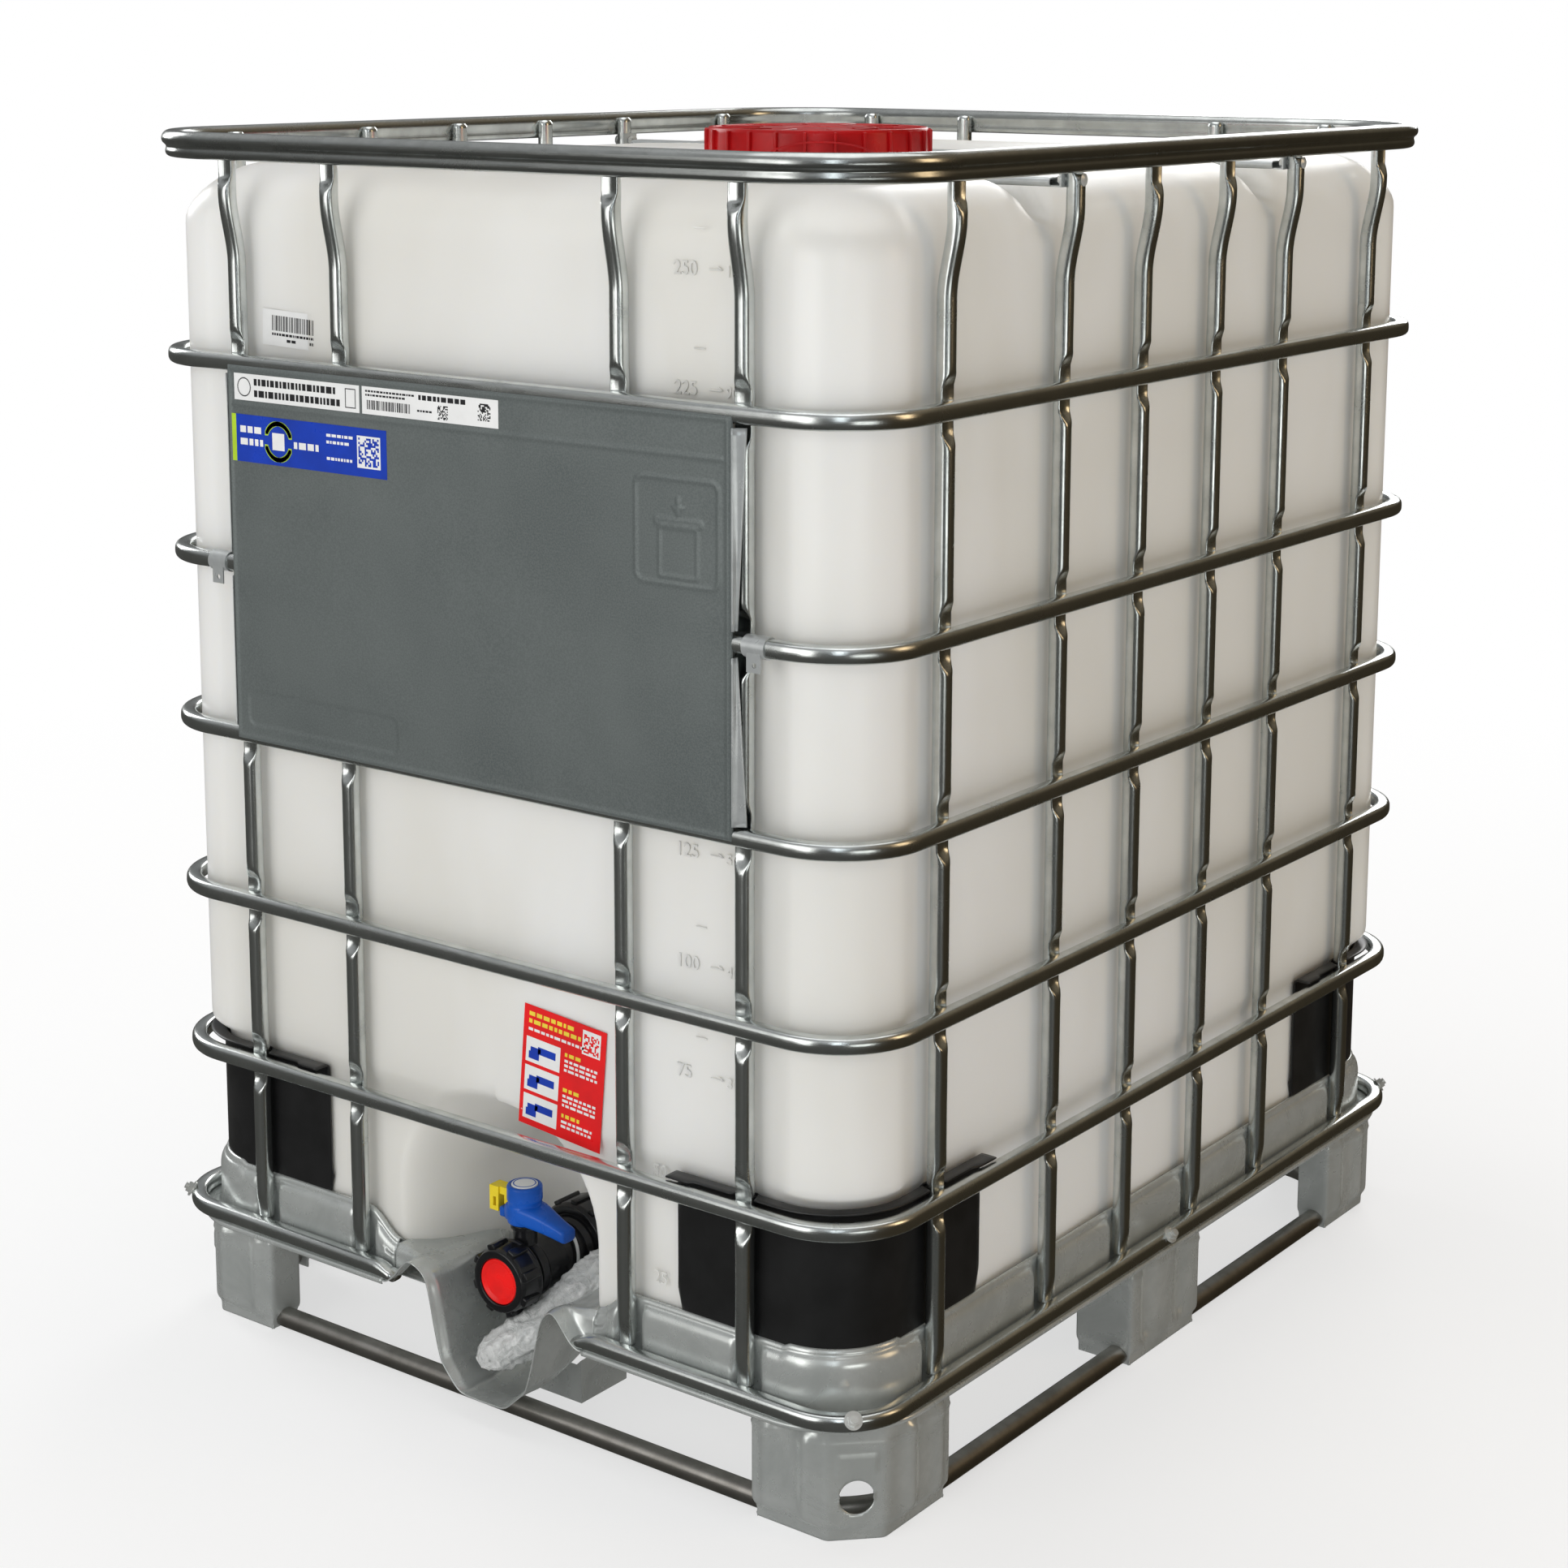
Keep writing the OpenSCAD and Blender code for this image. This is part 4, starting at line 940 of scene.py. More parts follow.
def protector_piece(name, i, j):
    """A black corner shell with a rolled lip; i and j are the signs of its corner's x and y."""
    out_a, out_b, r = 454.4, 553.4, 77.0
    edge_x, edge_y = 244.0, 338.0
    levels, wall_top = 22, 326.0
    line = [(x, out_b, 0.0, 1.0) for x in np.linspace(edge_x, out_a - r, 30)]
    for q in np.linspace(90.0, 0.0, 20)[1:-1]:
        c = math.radians(q)
        line.append((out_a - r + r * math.cos(c), out_b - r + r * math.sin(c), math.cos(c), math.sin(c)))
    line += [(out_a, y, 1.0, 0.0) for y in np.linspace(out_b - r, edge_y, 30)]
    line = np.array(line)
    along = np.concatenate([[0], np.cumsum(np.linalg.norm(np.diff(line[:, :2], axis=0), axis=1))])
    from_end = np.minimum(along, along[-1] - along)
    turn = 46.0
    low = 160.0 + turn - np.sqrt(np.maximum(turn ** 2 - (turn - np.minimum(from_end, turn)) ** 2, 0.0))
    lip = [(0.4, 330.5), (1.4, 333.2), (4.0, 335.0), (8.0, 335.2), (13.0, 335.2), (16.6, 335.0),
           (17.6, 334.0)]
    verts = []
    for k, (x, y, nx, ny) in enumerate(line):
        belly = 1.2 * math.sin(math.pi * min(1.0, along[k] / along[-1]))
        for t in np.linspace(0.0, 1.0, levels):
            z = low[k] + (wall_top - low[k]) * t
            tuck = -2.2 * max(0.0, 1 - t * 9.0) ** 2
            verts.append((i * (x + nx * (tuck + 0.3 * belly)), j * (y + ny * (tuck + 0.3 * belly)), z))
        # the lip is cut back where an upright passes
        passing = [abs(x - u) for u in UPRIGHT_X[2:] if ny > 0.9]
        passing += [abs(y - v) for v in UPRIGHT_Y[5:] if nx > 0.9]
        notch = min([1.0] + [float(smooth(d, 9.0, 13.0)) for d in passing])
        hook = 4.5 * (1 - float(smooth(from_end[k], 26.0, 34.0)))
        for off, z in lip:
            o = min(off, 3.5 + (off - 3.5) * notch) + (hook if off > 16 else 0.0) * notch
            verts.append((i * (x + nx * o), j * (y + ny * o), z))
    faces = grid_faces(len(line), levels + len(lip))
    obj = piece(name + "_shell", verts, faces, PROTECTOR)
    if i * j < 0:
        edit_mesh(obj, lambda bm: bmesh.ops.reverse_faces(bm, faces=bm.faces))
    thicken(obj, PROTECTOR_THICK, -1.0)
    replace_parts(obj, name)


# --- pallet ---

def wall_profile(panel, drop):
    """Pan section as (outward, z): flange edge, panel or plain wall, rolled top lowered by drop."""
    top = 187.0 - drop
    bulge = 1.2 + 9.4 * panel
    span = max(top - FLANGE_Z, 4.0)
    pts = [(30.2, FLANGE_Z - 4.6), (31.3, FLANGE_Z - 2.0), (30.6, FLANGE_Z), (26.0, FLANGE_Z + 0.1),
           (18.0, FLANGE_Z + 0.1), (bulge + 5.0, FLANGE_Z + 0.3), (bulge + 1.8, FLANGE_Z + 2.0),
           (bulge + 0.4, FLANGE_Z + 5.5)]
    pts += [(bulge, FLANGE_Z + span * t) for t in (0.25, 0.45, 0.6)]
    for q in (10, 30, 50, 70, 85):
        c = math.radians(q)
        pts.append((3.6 + (bulge - 3.6) * math.cos(c) if panel > 0 else bulge + 2.4 * math.sin(c),
                    top - 20.0 + 15.5 * math.sin(c)))
    return pts + [(4.2, top - 2.2), (3.4, top + 0.6), (1.6, top + 1.8), (-0.6, top + 1.2),
                  (-2.6, top - 1.0), (-3.2, top - 6.0)]


def pan_rows():
    """The wall's section at every point of its path: plain at uprights, lower beside the chute."""
    pts, nrm = open_front(*rectangle_path(WALL_A, WALL_B, WALL_BEND, 4.0, 22), CHUTE_EDGE)
    rows = []
    for (x, y), (nx, ny) in zip(pts, nrm):
        panel, drop = 1.0, 0.0
        if abs(nx) < 0.05:
            panel = min(float(smooth(abs(x - u), 12.0, 19.0)) for u in UPRIGHT_X)
            if y < 0:
                drop = CHUTE_WALL_DROP * (1 - float(smooth(abs(x), CHUTE_EDGE, 186.0)))
        elif abs(ny) < 0.05:
            panel = min(float(smooth(abs(y - v), 12.0, 19.0)) for v in UPRIGHT_Y)
        corner = 3.0 if abs(nx) > 0.05 and abs(ny) > 0.05 else 0.0
        section = wall_profile(panel, drop)
        rows.append([(x + nx * o, y + ny * o, z + corner * (z > 160)) for o, z in section])
    return np.array(rows)


def trough(x, t):
    """Height of the chute's walls at |x|, for t from 0 at its mouth to 1 under the bottle."""
    half = np.array([0.0, 22.0 + 36.0 * t, 27.0 + 36.0 * t, 50.0 + 22.0 * t, 60.0 + 18.0 * t,
                     66.0 + 18.0 * t, 71.0 + 18.0 * t, 78.0 + 16.0 * t, 90.0 + 10.0 * t, 160.0])
    up = 66.0 * t
    z = np.array([29.0 + up, 29.5 + up, 32.0 + up, 58.0 + 42.0 * t, 100.0 + 20.0 * t, 132.0 + 4.0 * t,
                  144.0, 149.5, 151.0, 149.0])
    return np.interp(x, half, z)


def chute_grid():
    """The chute's sheet between the wall's two front ends, from under the bottle out to its mouth."""
    mouth_y, rear_y = -586.5, -386
    xs = np.concatenate([np.linspace(-CHUTE_EDGE, -62, 40), np.linspace(-60, 60, 61),
                         np.linspace(62, CHUTE_EDGE, 40)])
    ys = np.concatenate([np.linspace(mouth_y, -540, 34), np.linspace(-537, rear_y, 52)])
    x, y = np.meshgrid(xs, ys)
    ax = np.abs(x)
    t = smooth(y, -545.0, -392.0)
    # the walls spread at the mouth, the right one further
    mouth = 1 - smooth(y, mouth_y, -574.0)
    flared = np.maximum(ax - 5.0 * mouth * smooth(ax, 16, 40), 0.0)
    wider = 0.17 * (1 - t) * (1 - smooth(ax, 100, 138))
    flared = np.where(x > 0, flared * (1 - wider), flared)
    z = np.array([trough(row, k) for row, k in zip(flared, t[:, 0])])
    # soften the folds by averaging across the trough
    for _ in range(3):
        z[:, 1:-1] = 0.5 * z[:, 1:-1] + 0.25 * (z[:, :-2] + z[:, 2:])
    # flange and wall, which the outer part of the grid has to meet
    profile = np.array(wall_profile(1.0, CHUTE_WALL_DROP))[2:-5]
    out, height = profile[::-1, 0], profile[::-1, 1]
    rim = np.interp(-y - WALL_B, np.maximum.accumulate(out), height)
    rim = np.where(-y - WALL_B > 30.0, FLANGE_Z, rim)
    edge = smooth(ax, 100.0, 138.0)
    z = np.where(ax > 78, z * (1 - edge) + np.minimum(rim, 162.0) * edge, z)
    # beads where the mouth's edge rolls over
    z += 5.0 * ridge(ax - 98.0, 15.0) * (1 - smooth(y, -575.0, -535.0))
    z += 4.0 * smooth(y, -540.0, -420.0) * ridge(ax - 108.0, 22.0)
    # pressed channel down the middle of each wall
    z -= 3.0 * ridge(ax - 44.0, 7.0) * smooth(y, -565, -540)
    y2 = y - 2.0 * ridge(ax - 96.0, 26.0) * mouth
    return np.stack([x, np.maximum(y2, -586.9), z], -1)


def build_pan():
    rows = pan_rows()
    verts = list(rows.reshape(-1, 3))
    faces = grid_faces(*rows.shape[:2])
    grid = chute_grid()
    faces += [tuple(reversed(f)) for f in grid_faces(*grid.shape[:2], base=len(verts))]
    verts += list(grid.reshape(-1, 3))
    obj = piece("pallet_pan", verts, faces, SHEET)
    thicken(obj, PAN_THICK)
    build_deck()
    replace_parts(obj, "deck_pan")


def build_deck():
    """The deck sheet under the bottle, with shallow pressed ribs, open over the chute."""
    x, y = np.meshgrid(np.linspace(-462, 462, 116), np.linspace(-561, 561, 140))
    rib = 2.6 * ridge(((x + 460.0) % 92.0) - 46.0, 12.0)
    rib *= smooth(470 - np.abs(x), 30, 60) * smooth(560 - np.abs(y), 60, 90)
    verts = np.stack([x, y, 123.6 - rib], -1).reshape(-1, 3)
    faces = []
    for f in grid_faces(*x.shape):
        cx, cy, _ = verts[list(f)].mean(axis=0)
        over_chute = abs(cx) < 96 and cy < -384
        outside_bend = math.hypot(max(abs(cx) - 392, 0), max(abs(cy) - 491, 0)) > 68
        if not over_chute and not outside_bend:
            faces.append(f)
    thicken(piece("pallet_deck", verts, faces, SHEET), PAN_THICK)


def foot_outline(points, flutes, step=2.5, bend=7.0):
    """A rounded open outline with normals; flutes are (index of side, place along it, width, depth)."""
    pts, nrm = [], []
    p = [np.array(q, float) for q in points]
    for k in range(len(p) - 1):
        d = p[k + 1] - p[k]
        length = np.linalg.norm(d)
        d /= length
        n = np.array([d[1], -d[0]])
        lo = bend if k > 0 else 0.0
        hi = length - bend if k < len(p) - 2 else length
        for s in np.linspace(lo, hi, max(3, int((hi - lo) / step))):
            dent = sum(depth * math.exp(-((s - at) / width) ** 2)
                       for run, at, width, depth in flutes if run == k)
            pts.append(p[k] + d * s - n * dent)
            nrm.append(n)
        if k < len(p) - 2:
            d2 = p[k + 2] - p[k + 1]
            d2 /= np.linalg.norm(d2)
            n2 = np.array([d2[1], -d2[0]])
            a, b = p[k + 1] - d * bend, p[k + 1] + d2 * bend
            for t in (0.2, 0.4, 0.6, 0.8):
                pts.append((1 - t) ** 2 * a + 2 * t * (1 - t) * p[k + 1] + t * t * b)
                m = n * (1 - t) + n2 * t
                nrm.append(m / np.linalg.norm(m))
    return np.array(pts), np.array(nrm)


def foot_paths(plan, flutes, outward):
    """A foot's fluted outline, its outward normals, and the same outline without flutes."""
    pts, nrm = foot_outline(plan, flutes)
    if nrm[len(nrm) // 2] @ np.array(outward) < 0:
        nrm = -nrm
    return np.array([pts, nrm, foot_outline(plan, [])[0]])


def foot_piece(name, paths, hole=None):
    """A pressed skirt: flared at the top, beaded, drawn in at the ground, with flutes that fade out.
    A foot with a hole (centre and radius) has a blank raised panel above it."""
    rows = [(1.2, 123.2), (0.6, 119.0), (0.0, 114.0)]
    rows += [(0.0, z) for z in np.arange(110.0, 22.0, -3.0)]
    rows += [(-0.4, 19.5), (-1.6, 16.5), (-3.4, 14.0), (-4.8, 11.0), (-5.2, 8.0), (-5.2, 3.0), (-5.6, 0.4)]
    verts = []
    for off, z in rows:
        bead = 1.3 * math.exp(-((z - 101.0) / 3.0) ** 2)
        deep = float(smooth(z, 9.0, 30.0) * (1.0 - smooth(z, 106.0, 119.0)))
        stands = 1.5 * float(smooth(z, 70.0, 73.0) * (1.0 - smooth(z, 90.0, 93.0)))
        for p, n, flat in zip(*paths):
            blank = 0.0
            if hole is not None and stands:
                away = math.hypot(flat[0] - hole[0], flat[1] - hole[1])
                blank = stands * (1.0 - float(smooth(away, 19.0, 22.0)))
            q = flat + (p - flat) * deep + n * (off + bead + blank)
            verts.append((q[0], q[1], z))
    verts = np.array(verts)
    faces = grid_faces(len(rows), paths.shape[1])
    if hole is not None:
        centre, radius = np.array(hole[:3]), hole[3]
        d = np.linalg.norm(verts - centre, axis=1)
        faces = [f for f in faces if d[list(f)].mean() > radius]
        edge = [i for i in {v for f in faces for v in f} if radius - 3.0 < d[i] < radius + 1.7]
        for i in edge:
            verts[i] = centre + (verts[i] - centre) / d[i] * radius
    obj = piece(name, verts, faces, SHEET)
    edit_mesh(obj, lambda bm: bmesh.ops.delete(
        bm, geom=[v for v in bm.verts if not v.link_faces], context="VERTS"))
    thicken(obj, FOOT_THICK, 1.0)
    return obj


def build_feet():
    a, b, cut = 474.0, 562.0, 44.0
    flutes = [(1, 22.0, 9.0, 5.0), (1, 72.0, 11.0, 7.5), (3, 34.0, 11.0, 7.5), (3, 84.0, 9.0, 5.0)]
    plan = [(338, 520), (338, b), (a - cut, b), (a, b - cut), (a, 410), (434, 410)]
    corner = foot_paths(plan, flutes, (1, 1))
    for i, si in (("left", -1), ("right", 1)):
        for j, sj in (("front", -1), ("rear", 1)):
            node = "foot_%s_%s" % (j, i)
            paths = corner * np.array([si, sj], float)
            if si * sj < 0:
                paths = paths[:, ::-1]
            hole = (si * (a - cut / 2 - 0.2), sj * (b - cut / 2 - 0.2), 47.0, 17.5)
            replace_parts(foot_piece("pallet_" + node, paths, hole), node)
    flutes = [(1, 38.0, 12.0, 9.0), (1, 112.0, 12.0, 9.0)]
    side = foot_paths([(404, -57), (a, -57), (a, 93), (404, 93)], flutes, (1, 0))
    rear = foot_paths([(-75, 492), (-75, b), (75, b), (75, 492)], flutes, (0, 1))
    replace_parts(foot_piece("pallet_mid_foot_right", side[:, ::-1]), "mid_foot_right")
    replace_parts(foot_piece("pallet_mid_foot_left", side * np.array([-1.0, 1.0])), "mid_foot_left")
    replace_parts(foot_piece("pallet_mid_foot_rear", rear), "mid_foot_rear")
    dress("mid_foot_front", material=SHEET)


def build_runner():
    path = rectangle_path(455.0, 541.0, 120.0, 10.0, 20)
    radius = 11.0
    u, v = squircle(radius, radius, 2.2).T
    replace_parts(loft("pallet_runner", sweep(*path, u, radius + v), RUNNER, closed=True),
                "runner_frame")


# --- turned and moulded parts ---

def fillet(profile, r, steps=4):
    """Rounds the corners of an open profile."""
    p = [np.array(q, float) for q in profile]
    out = [p[0]]
    for k in range(1, len(p) - 1):
        a, b = p[k - 1] - p[k], p[k + 1] - p[k]
        la, lb = np.linalg.norm(a), np.linalg.norm(b)
        cut = min(r, la * 0.45, lb * 0.45)
        start, stop = p[k] + a / la * cut, p[k] + b / lb * cut
        for t in np.linspace(0, 1, steps):
            out.append((1 - t) ** 2 * start + 2 * t * (1 - t) * p[k] + t * t * stop)
    out.append(p[-1])
    return np.array(out)


def lathe(name, profile, centre, axis, material, body="body", n=72, r=0.8):
    """Turns (along, radius) round an axis through centre, with its corners rounded by r."""
    t = np.linspace(0, 2 * math.pi, n, endpoint=False)
    verts = []
    prof = fillet(profile, r)
    for along, radius in prof:
        u, v, level = radius * np.cos(t), radius * np.sin(t), np.full(n, along)
        if axis == "Y":
            verts.append(np.stack([centre[0] + u, level, centre[2] + v], 1))
        else:
            verts.append(np.stack([centre[0] + u, centre[1] + v, level], 1))
    faces = grid_faces(len(prof), n, wrap_cols=True)
    obj = piece(name, np.concatenate(verts), faces, material, body, auto=50)
    weld(obj)
    return obj


def block(name, centre, size, turn, material, slot, body="body", soft=0.8):
    """A small block with rounded edges, placed by a turn matrix and its centre."""
    bm = bmesh.new()
    bmesh.ops.create_cube(bm, size=1.0)
    for v in bm.verts:
        v.co = Vector([c * s * MM for c, s in zip(v.co, size)])
    bmesh.ops.bevel(bm, geom=bm.edges[:], offset=soft * MM, segments=3, affect="EDGES", profile=0.5)
    bm.transform(Matrix.Translation(Vector(centre) * MM) @ turn.to_4x4())
    mesh = bpy.data.meshes.new(name)
    bm.to_mesh(mesh)
    bm.free()
    mesh.polygons.foreach_set("use_smooth", [True] * len(mesh.polygons))
    mesh.materials.append(material)
    obj = bpy.data.objects.new(name, mesh)
    bpy.context.collection.objects.link(obj)
    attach(obj, body)
    return obj


def ribs(name, count, radius, size, along, axis, centre, material, slot, body="body", start=0.0,
         soft=0.8):
    """Blocks set round an axis: size is (radial, tangential, along)."""
    made = []
    for k in range(count):
        q = math.radians(start + 360.0 * k / count)
        if axis == "Y":
            at = (centre[0] + radius * math.cos(q), along, centre[2] + radius * math.sin(q))
            turn = Matrix.Rotation(-q, 3, "Y")
            dims = (size[0], size[2], size[1])
        else:
            at = (centre[0] + radius * math.cos(q), centre[1] + radius * math.sin(q), along)
            turn = Matrix.Rotation(q, 3, "Z")
            dims = size
        made.append(block("%s_rib" % name, at, dims, turn, material, slot, body, soft))
    return made


VALVE_AXIS, STEM_AXIS = (0.0, 0.0, VALVE_Z), (0, STEM_Y, 0)


def black_turned(name, profile, body="body", r=0.8):
    return lathe(name, profile, VALVE_AXIS, "Y", BLACK, body, r=r)


def black_ribs(name, count, radius, size, along, *rest, **more):
    return ribs(name, count, radius, size, along, "Y", VALVE_AXIS, BLACK, "valve_black", *rest, **more)


def build_valve():
    tube = black_turned("valve_tube", [
        (-551, 24.8), (-551, 27.6), (-524, 29.4), (-519, 29.4), (-519, 32.5), (-509, 32.5), (-506, 31.0),
        (-486, 31.0), (-482, 32.5), (-478, 32.5), (-478, 30.0), (-446, 30.0), (-441, 33.0), (-434, 35.6),
        (-428, 35.6), (-428, 25.2), (-551, 24.8)])
    neck = lathe("valve_neck", [(168, 9.0), (168, 12.9), (178, 12.9), (190, 12.9), (197, 12.9), (197, 15.5),
                                (202, 15.5), (202, 6.4)], STEM_AXIS, "Z", BLACK)
    web = block("valve_web", (0, -494, 172), (7, 34, 16), Matrix.Identity(3), BLACK, "valve_black")
    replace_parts(join([tube, neck, web], "valve_housing"), "valve_body")

    nut = black_turned("union_nut_turned", [
        (-398, 38.5), (-398, 46.0), (-402, 47.0), (-434, 47.0), (-440, 44.5), (-440, 37.0), (-437.5, 36.0),
        (-437.5, 33.6), (-440, 32.5), (-440, 30.4), (-434, 30.4)], r=1.2)
    knobs = black_ribs("union", 12, 47.6, (5.4, 8.0, 35.0), -418.0, soft=1.4)
    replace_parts(join([nut] + knobs, "union_nut"), "valve_union_nut")

    cap = black_turned("outlet_nut_turned", [
        (-526, 30.2), (-526, 37.5), (-529, 38.0), (-532, 36.2), (-551, 35.2), (-556, 33.0), (-556, 25.6),
        (-553.2, 25.0), (-552.7, 25.0)], "outlet_cap", 1.2)
    lugs = black_ribs("outlet", 8, 36.0, (7.0, 10.0, 23.0), -541.5, "outlet_cap", 20.0, 1.6)
    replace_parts(join([cap] + lugs, "outlet_nut"), "outlet_cap_nut")
    disc = lathe("outlet_disc", [(-551.9, 29.0), (-552.2, 24.8), (-554.4, 24.6), (-555.0, 23.4),
                                 (-554.0, 21.4), (-552.6, 19.0), (-552.6, 0.05)],
                 VALVE_AXIS, "Y", RED_DISC, "outlet_seal", r=0.7)
    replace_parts(disc, "outlet_cap_disc")
    dress("outlet_gasket", "valve_gasket", "fill_cap_gasket", material=GASKET)
    dress("valve_disc_stem", material=GREY)
    dress("safety_clip", material=YELLOW)
    build_handle()
    build_tie()


def build_handle():
    hub = lathe("handle_hub", [(203.5, 13.8), (203.5, 18.4), (206, 19.0), (222, 19.0), (224, 18.2),
                               (227, 18.2), (229, 19.0), (243, 19.0), (245.0, 17.4), (245.0, 15.0),
                               (243.6, 14.6), (243.6, 0.1)],
                STEM_AXIS, "Z", BLUE, "lever", r=1.0)
    # the arm's sections: x, height, half width, half depth
    sections = [(-17.5, 214.5, 13.0, 9.0), (-15, 214.8, 15.4, 10.6), (-6, 214.8, 18.6, 10.9),
                (6, 214.6, 19.0, 11.0), (16, 213.4, 17.6, 10.9), (26, 211.4, 15.4, 10.2),
                (36, 208.8, 13.2, 9.2), (46, 206.0, 11.6, 8.2), (54, 203.8, 10.8, 7.6),
                (59, 202.6, 10.4, 7.2), (61.2, 202.2, 9.8, 6.6), (62.0, 202.0, 8.4, 5.4)]
    out = []
    for x, z, half_y, half_z in sections:
        s = squircle(half_y, half_z, 4.0, 32)
        out.append(np.stack([np.full(len(s), float(x)), STEM_Y + s[:, 0], z + s[:, 1]], 1))
    arm = loft("handle_arm", out, BLUE, "lever")
    ear = block("handle_ear", (-19.5, STEM_Y, 211), (15, 22, 11), Matrix.Identity(3), BLUE, "handle_blue",
                "lever", 2.0)
    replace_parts(join([hub, arm, ear], "lever_handle"), "valve_handle")
    disc = lathe("lever_badge", [(243.9, 14.2), (245.2, 14.2), (245.8, 13.4), (245.8, 0.1)],
                 STEM_AXIS, "Z", WHITE, "lever", r=0.5)
    lathe("lever_badge_ring", [(245.8, 12.4), (246.0, 12.2), (246.0, 11.2), (245.8, 11.0)],
          STEM_AXIS, "Z", BLUE, "lever", r=0.1)
    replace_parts(disc, "handle_cap_disc")


def build_tie():
    """A cable tie slung loosely round the valve tube, its head at the bottom."""
    section = [(-0.5, -1.9), (0.5, -1.9), (0.5, 1.9), (-0.5, 1.9)]
    out = []
    for q in np.linspace(0, 360, 64, endpoint=False):
        c, s = math.cos(math.radians(q)), math.sin(math.radians(q))
        sag = 12.0 * s ** 2 if s < 0 else 0.0
        x, y, z = 33.0 * c, -466.0 + 6.0 * s, VALVE_Z + (34.0 + sag) * s
        out.append([(x + c * u, y + w, z + s * u) for u, w in section])
    band = loft("tie_band", out, WHITE, closed=True, auto=40)
    head = block("tie_head", (3.0, -472.0, 104.0), (5.5, 7.0, 4.5), Matrix.Rotation(0.3, 3, "Y"), WHITE,
                 "tie_white")
    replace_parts(join([band, head], "cable_tie"), "valve_tie")


def build_bag():
    """Thin creased film, gathered beside the valve and lying down in the chute."""
    # stations: x, y, z and the half width and half height of the lobe there
    p = np.array([(76, -446, 166, 6, 5), (74, -452, 163, 14, 11), (71, -461, 157, 20, 15),
                  (67, -474, 149, 24, 17), (61, -488, 139, 26, 18), (54, -502, 128, 26, 19),
                  (45, -516, 115, 26, 20), (33, -530, 102, 26, 21), (20, -543, 90, 26, 22),
                  (7, -554, 80, 25, 21), (-1, -564, 73, 22, 18), (-6, -572, 68, 15, 12),
                  (-9, -577, 65, 6, 5)], float)
    fine = np.linspace(0, len(p) - 1, 110)
    v = np.stack([np.interp(fine, np.arange(len(p)), column) for column in p.T], 1)
    for _ in range(4):
        v[1:-1] = 0.5 * v[1:-1] + 0.25 * (v[:-2] + v[2:])
    d = np.gradient(v[:, :3], axis=0)
    d /= np.linalg.norm(d, axis=1)[:, None]
    side = np.cross(d, [0.3, 0.0, 1.0])
    side /= np.linalg.norm(side, axis=1)[:, None]
    up = np.cross(side, d)
    out = []
    for k in range(len(v)):
        ring = []
        for q in np.linspace(0, 2 * math.pi, 72, endpoint=False):
            c, s = math.cos(q), math.sin(q)
            base = v[k, :3] + side[k] * v[k, 3] * c + up[k] * v[k, 4] * s
            fold = noise.noise(Vector((c * 2.1, s * 2.1, k * 0.035)))
            crumple = 1.0 - abs(noise.noise(Vector(base) * 0.085 + Vector((7, 3, 1)))) * 3.2
            fine_fold = noise.noise(Vector(base) * 0.23)
            swell = 4.2 * fold + 2.4 * max(0.0, crumple) ** 3 + 1.3 * fine_fold - 1.5
            ring.append(base + (side[k] * c + up[k] * s) * swell)
        out.append(ring)
    bag = loft("protective_film_bag", out, FILM)
    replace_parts(bag, "protective_bag")


def build_cap():
    axis = (0, 0, 0)
    skirt = lathe("cap_turned", [(1303, 120.5), (1303, 125.0), (1306, 125.4), (1329, 124.6), (1333, 123.2),
                                 (1333, 118.5), (1331.6, 116.2), (1331.8, 66.0), (1332.6, 62.0),
                                 (1332.6, 40.0), (1331.6, 36.0), (1331.6, 0.1)],
                  axis, "Z", RED_CAP, "cap", n=120, r=1.0)
    red = (RED_CAP, "cap_red", "cap")
    side = ribs("cap_side", 24, 126.0, (5.6, 3.4, 27.0), 1317.5, "Z", axis, *red, 0.0, 0.9)
    top = ribs("cap_top", 12, 92.0, (52.0, 2.4, 1.9), 1332.0, "Z", axis, *red, 15.0, 0.5)
    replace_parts(join([skirt] + side + top, "fill_cap_moulding"), "fill_cap")
    dress("vent_plug", "cap_seal_strap", material=RED_CAP)


# --- light, floor and camera ---

def area(name, at, toward, size, watts, color):
    lamp = bpy.data.lights.new(name, "AREA")
    lamp.shape = "RECTANGLE"
    lamp.size, lamp.size_y = size
    lamp.energy, lamp.color = watts, color
    obj = bpy.data.objects.new(name, lamp)
    obj.location = at
    obj.rotation_euler = (Vector(toward) - Vector(at)).to_track_quat("-Z", "Y").to_euler()
    bpy.context.collection.objects.link(obj)


def build_floor():
    """A pale floor that brightens to plain white away from the object."""
    bpy.ops.mesh.primitive_plane_add(size=160.0, location=(0, 0, 0))
    floor = bpy.context.active_object
    floor.name = "floor"
    s = Shader("floor_pale", (0.95, 0.95, 0.95), 0.8)
    glow = s.node("ShaderNodeEmission", Color=PLAIN_WHITE, Strength=1.0)
    far = s.node("ShaderNodeVectorMath", operation="LENGTH")
    s.link(s.place((1, 1, 1)), far.inputs[0])
    share = s.range(far.outputs["Value"], 0.9, 3.2, FLOOR_GLOW, 1.0)
    s.mix_shaders(share, s.bsdf.outputs[0], glow.outputs[0], "Material Output")
    floor.data.materials.append(s.material)
    floor.visible_glossy = False


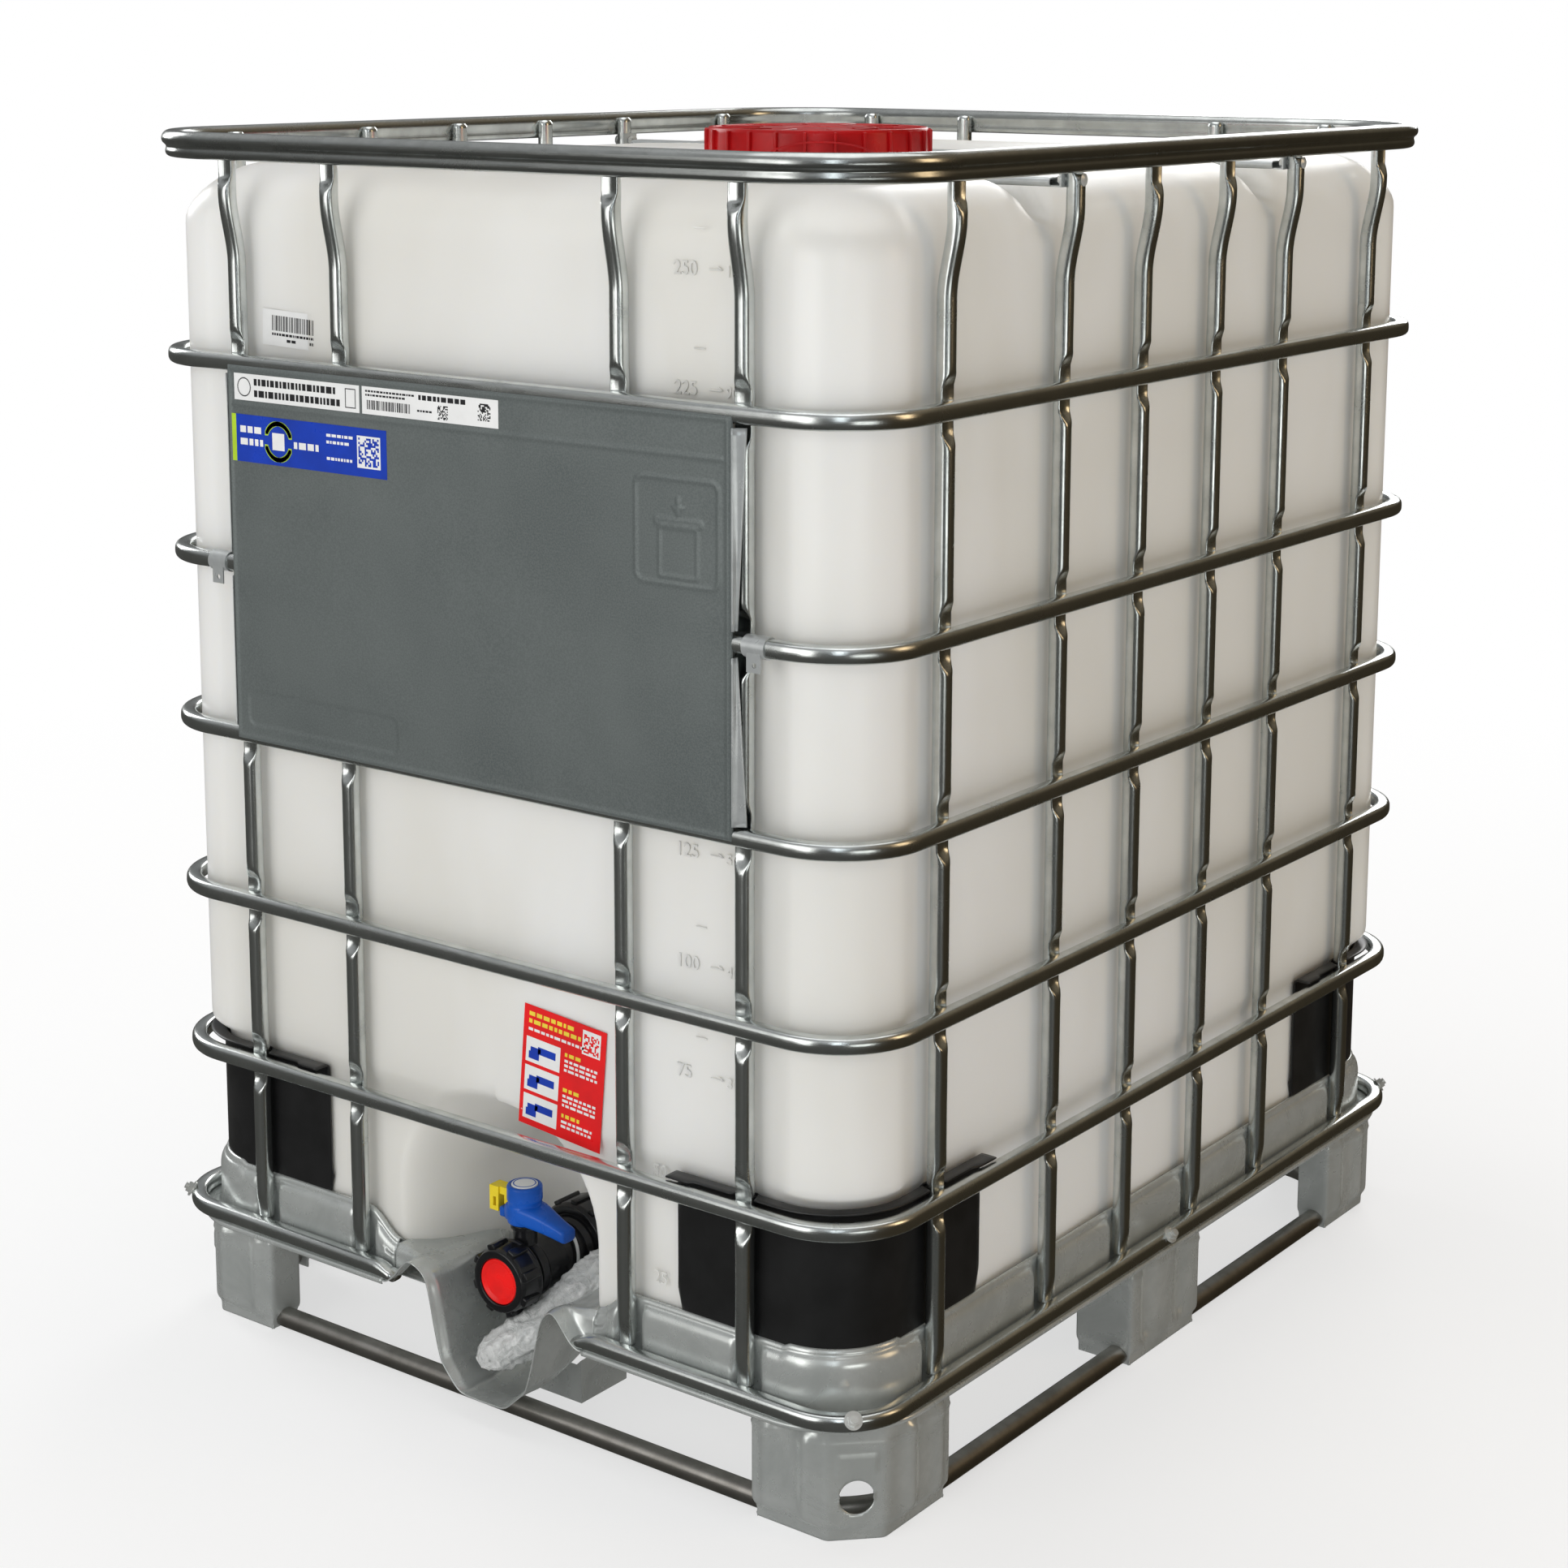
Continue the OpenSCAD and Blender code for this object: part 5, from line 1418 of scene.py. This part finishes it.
def build_world():
    """White to the camera; to everything else a dome, darker below and warm at the rear right."""
    world = bpy.data.worlds.new("studio")
    bpy.context.scene.world = world
    world.use_nodes = True
    g = Graph(world.node_tree)
    way = g.node("ShaderNodeTexCoord").outputs["Generated"]
    split = g.node("ShaderNodeSeparateXYZ")
    g.link(way, split.inputs["Vector"])
    height = g.ramp(split.outputs["Z"], ((0.0, (0.15, 0.15, 0.14)), (0.10, (0.15, 0.15, 0.145)),
                                         (0.28, (0.36, 0.37, 0.37)), (0.60, (0.80, 0.81, 0.82))))
    toward = g.node("ShaderNodeVectorMath", operation="DOT_PRODUCT")
    g.link(way, toward.inputs[0])
    toward.inputs[1].default_value = REAR_RIGHT
    warm = g.ramp(toward.outputs["Value"], ((0.10, (1.0, 1.0, 1.0)), (0.62, (0.50, 0.40, 0.27))))
    dome = g.tree.nodes["Background"]
    g.link(g.mix(1.0, height, warm, "MULTIPLY"), dome.inputs["Color"])
    dome.inputs["Strength"].default_value = DOME
    white = g.node("ShaderNodeBackground", Color=PLAIN_WHITE)
    seen = g.node("ShaderNodeLightPath").outputs["Is Camera Ray"]
    g.mix_shaders(seen, dome.outputs[0], white.outputs[0], "World Output")


def build_stage():
    bpy.context.scene.view_settings.view_transform = "Standard"
    build_floor()
    build_world()
    for lamp in LAMPS:
        area(*lamp)


def build_camera():
    cam = bpy.data.cameras.new("camera")
    cam.sensor_width, cam.lens = 36.0, LENS
    cam.shift_x, cam.shift_y = SHIFT
    forward = Vector((math.sin(YAW) * math.cos(PITCH), math.cos(YAW) * math.cos(PITCH), math.sin(PITCH)))
    right = forward.cross(Vector((0, 0, 1))).normalized()
    up = right.cross(forward)
    c, s = math.cos(ROLL), math.sin(ROLL)
    axes = Matrix((right * c + up * s, up * c - right * s, -forward)).transposed()
    obj = bpy.data.objects.new("camera", cam)
    obj.matrix_world = Matrix.Translation(CAMERA_AT) @ axes.to_4x4()
    bpy.context.collection.objects.link(obj)
    bpy.context.scene.camera = obj


build_camera()
build_stage()
build_cage()
build_bottle()
build_plate()
build_labels()
for side_name, i in (("left", -1), ("right", 1)):
    for end_name, j in (("front", -1), ("rear", 1)):
        protector_piece("protector_%s_%s" % (end_name, side_name), i, j)
build_pan()
build_feet()
build_runner()
build_valve()
build_bag()
build_cap()
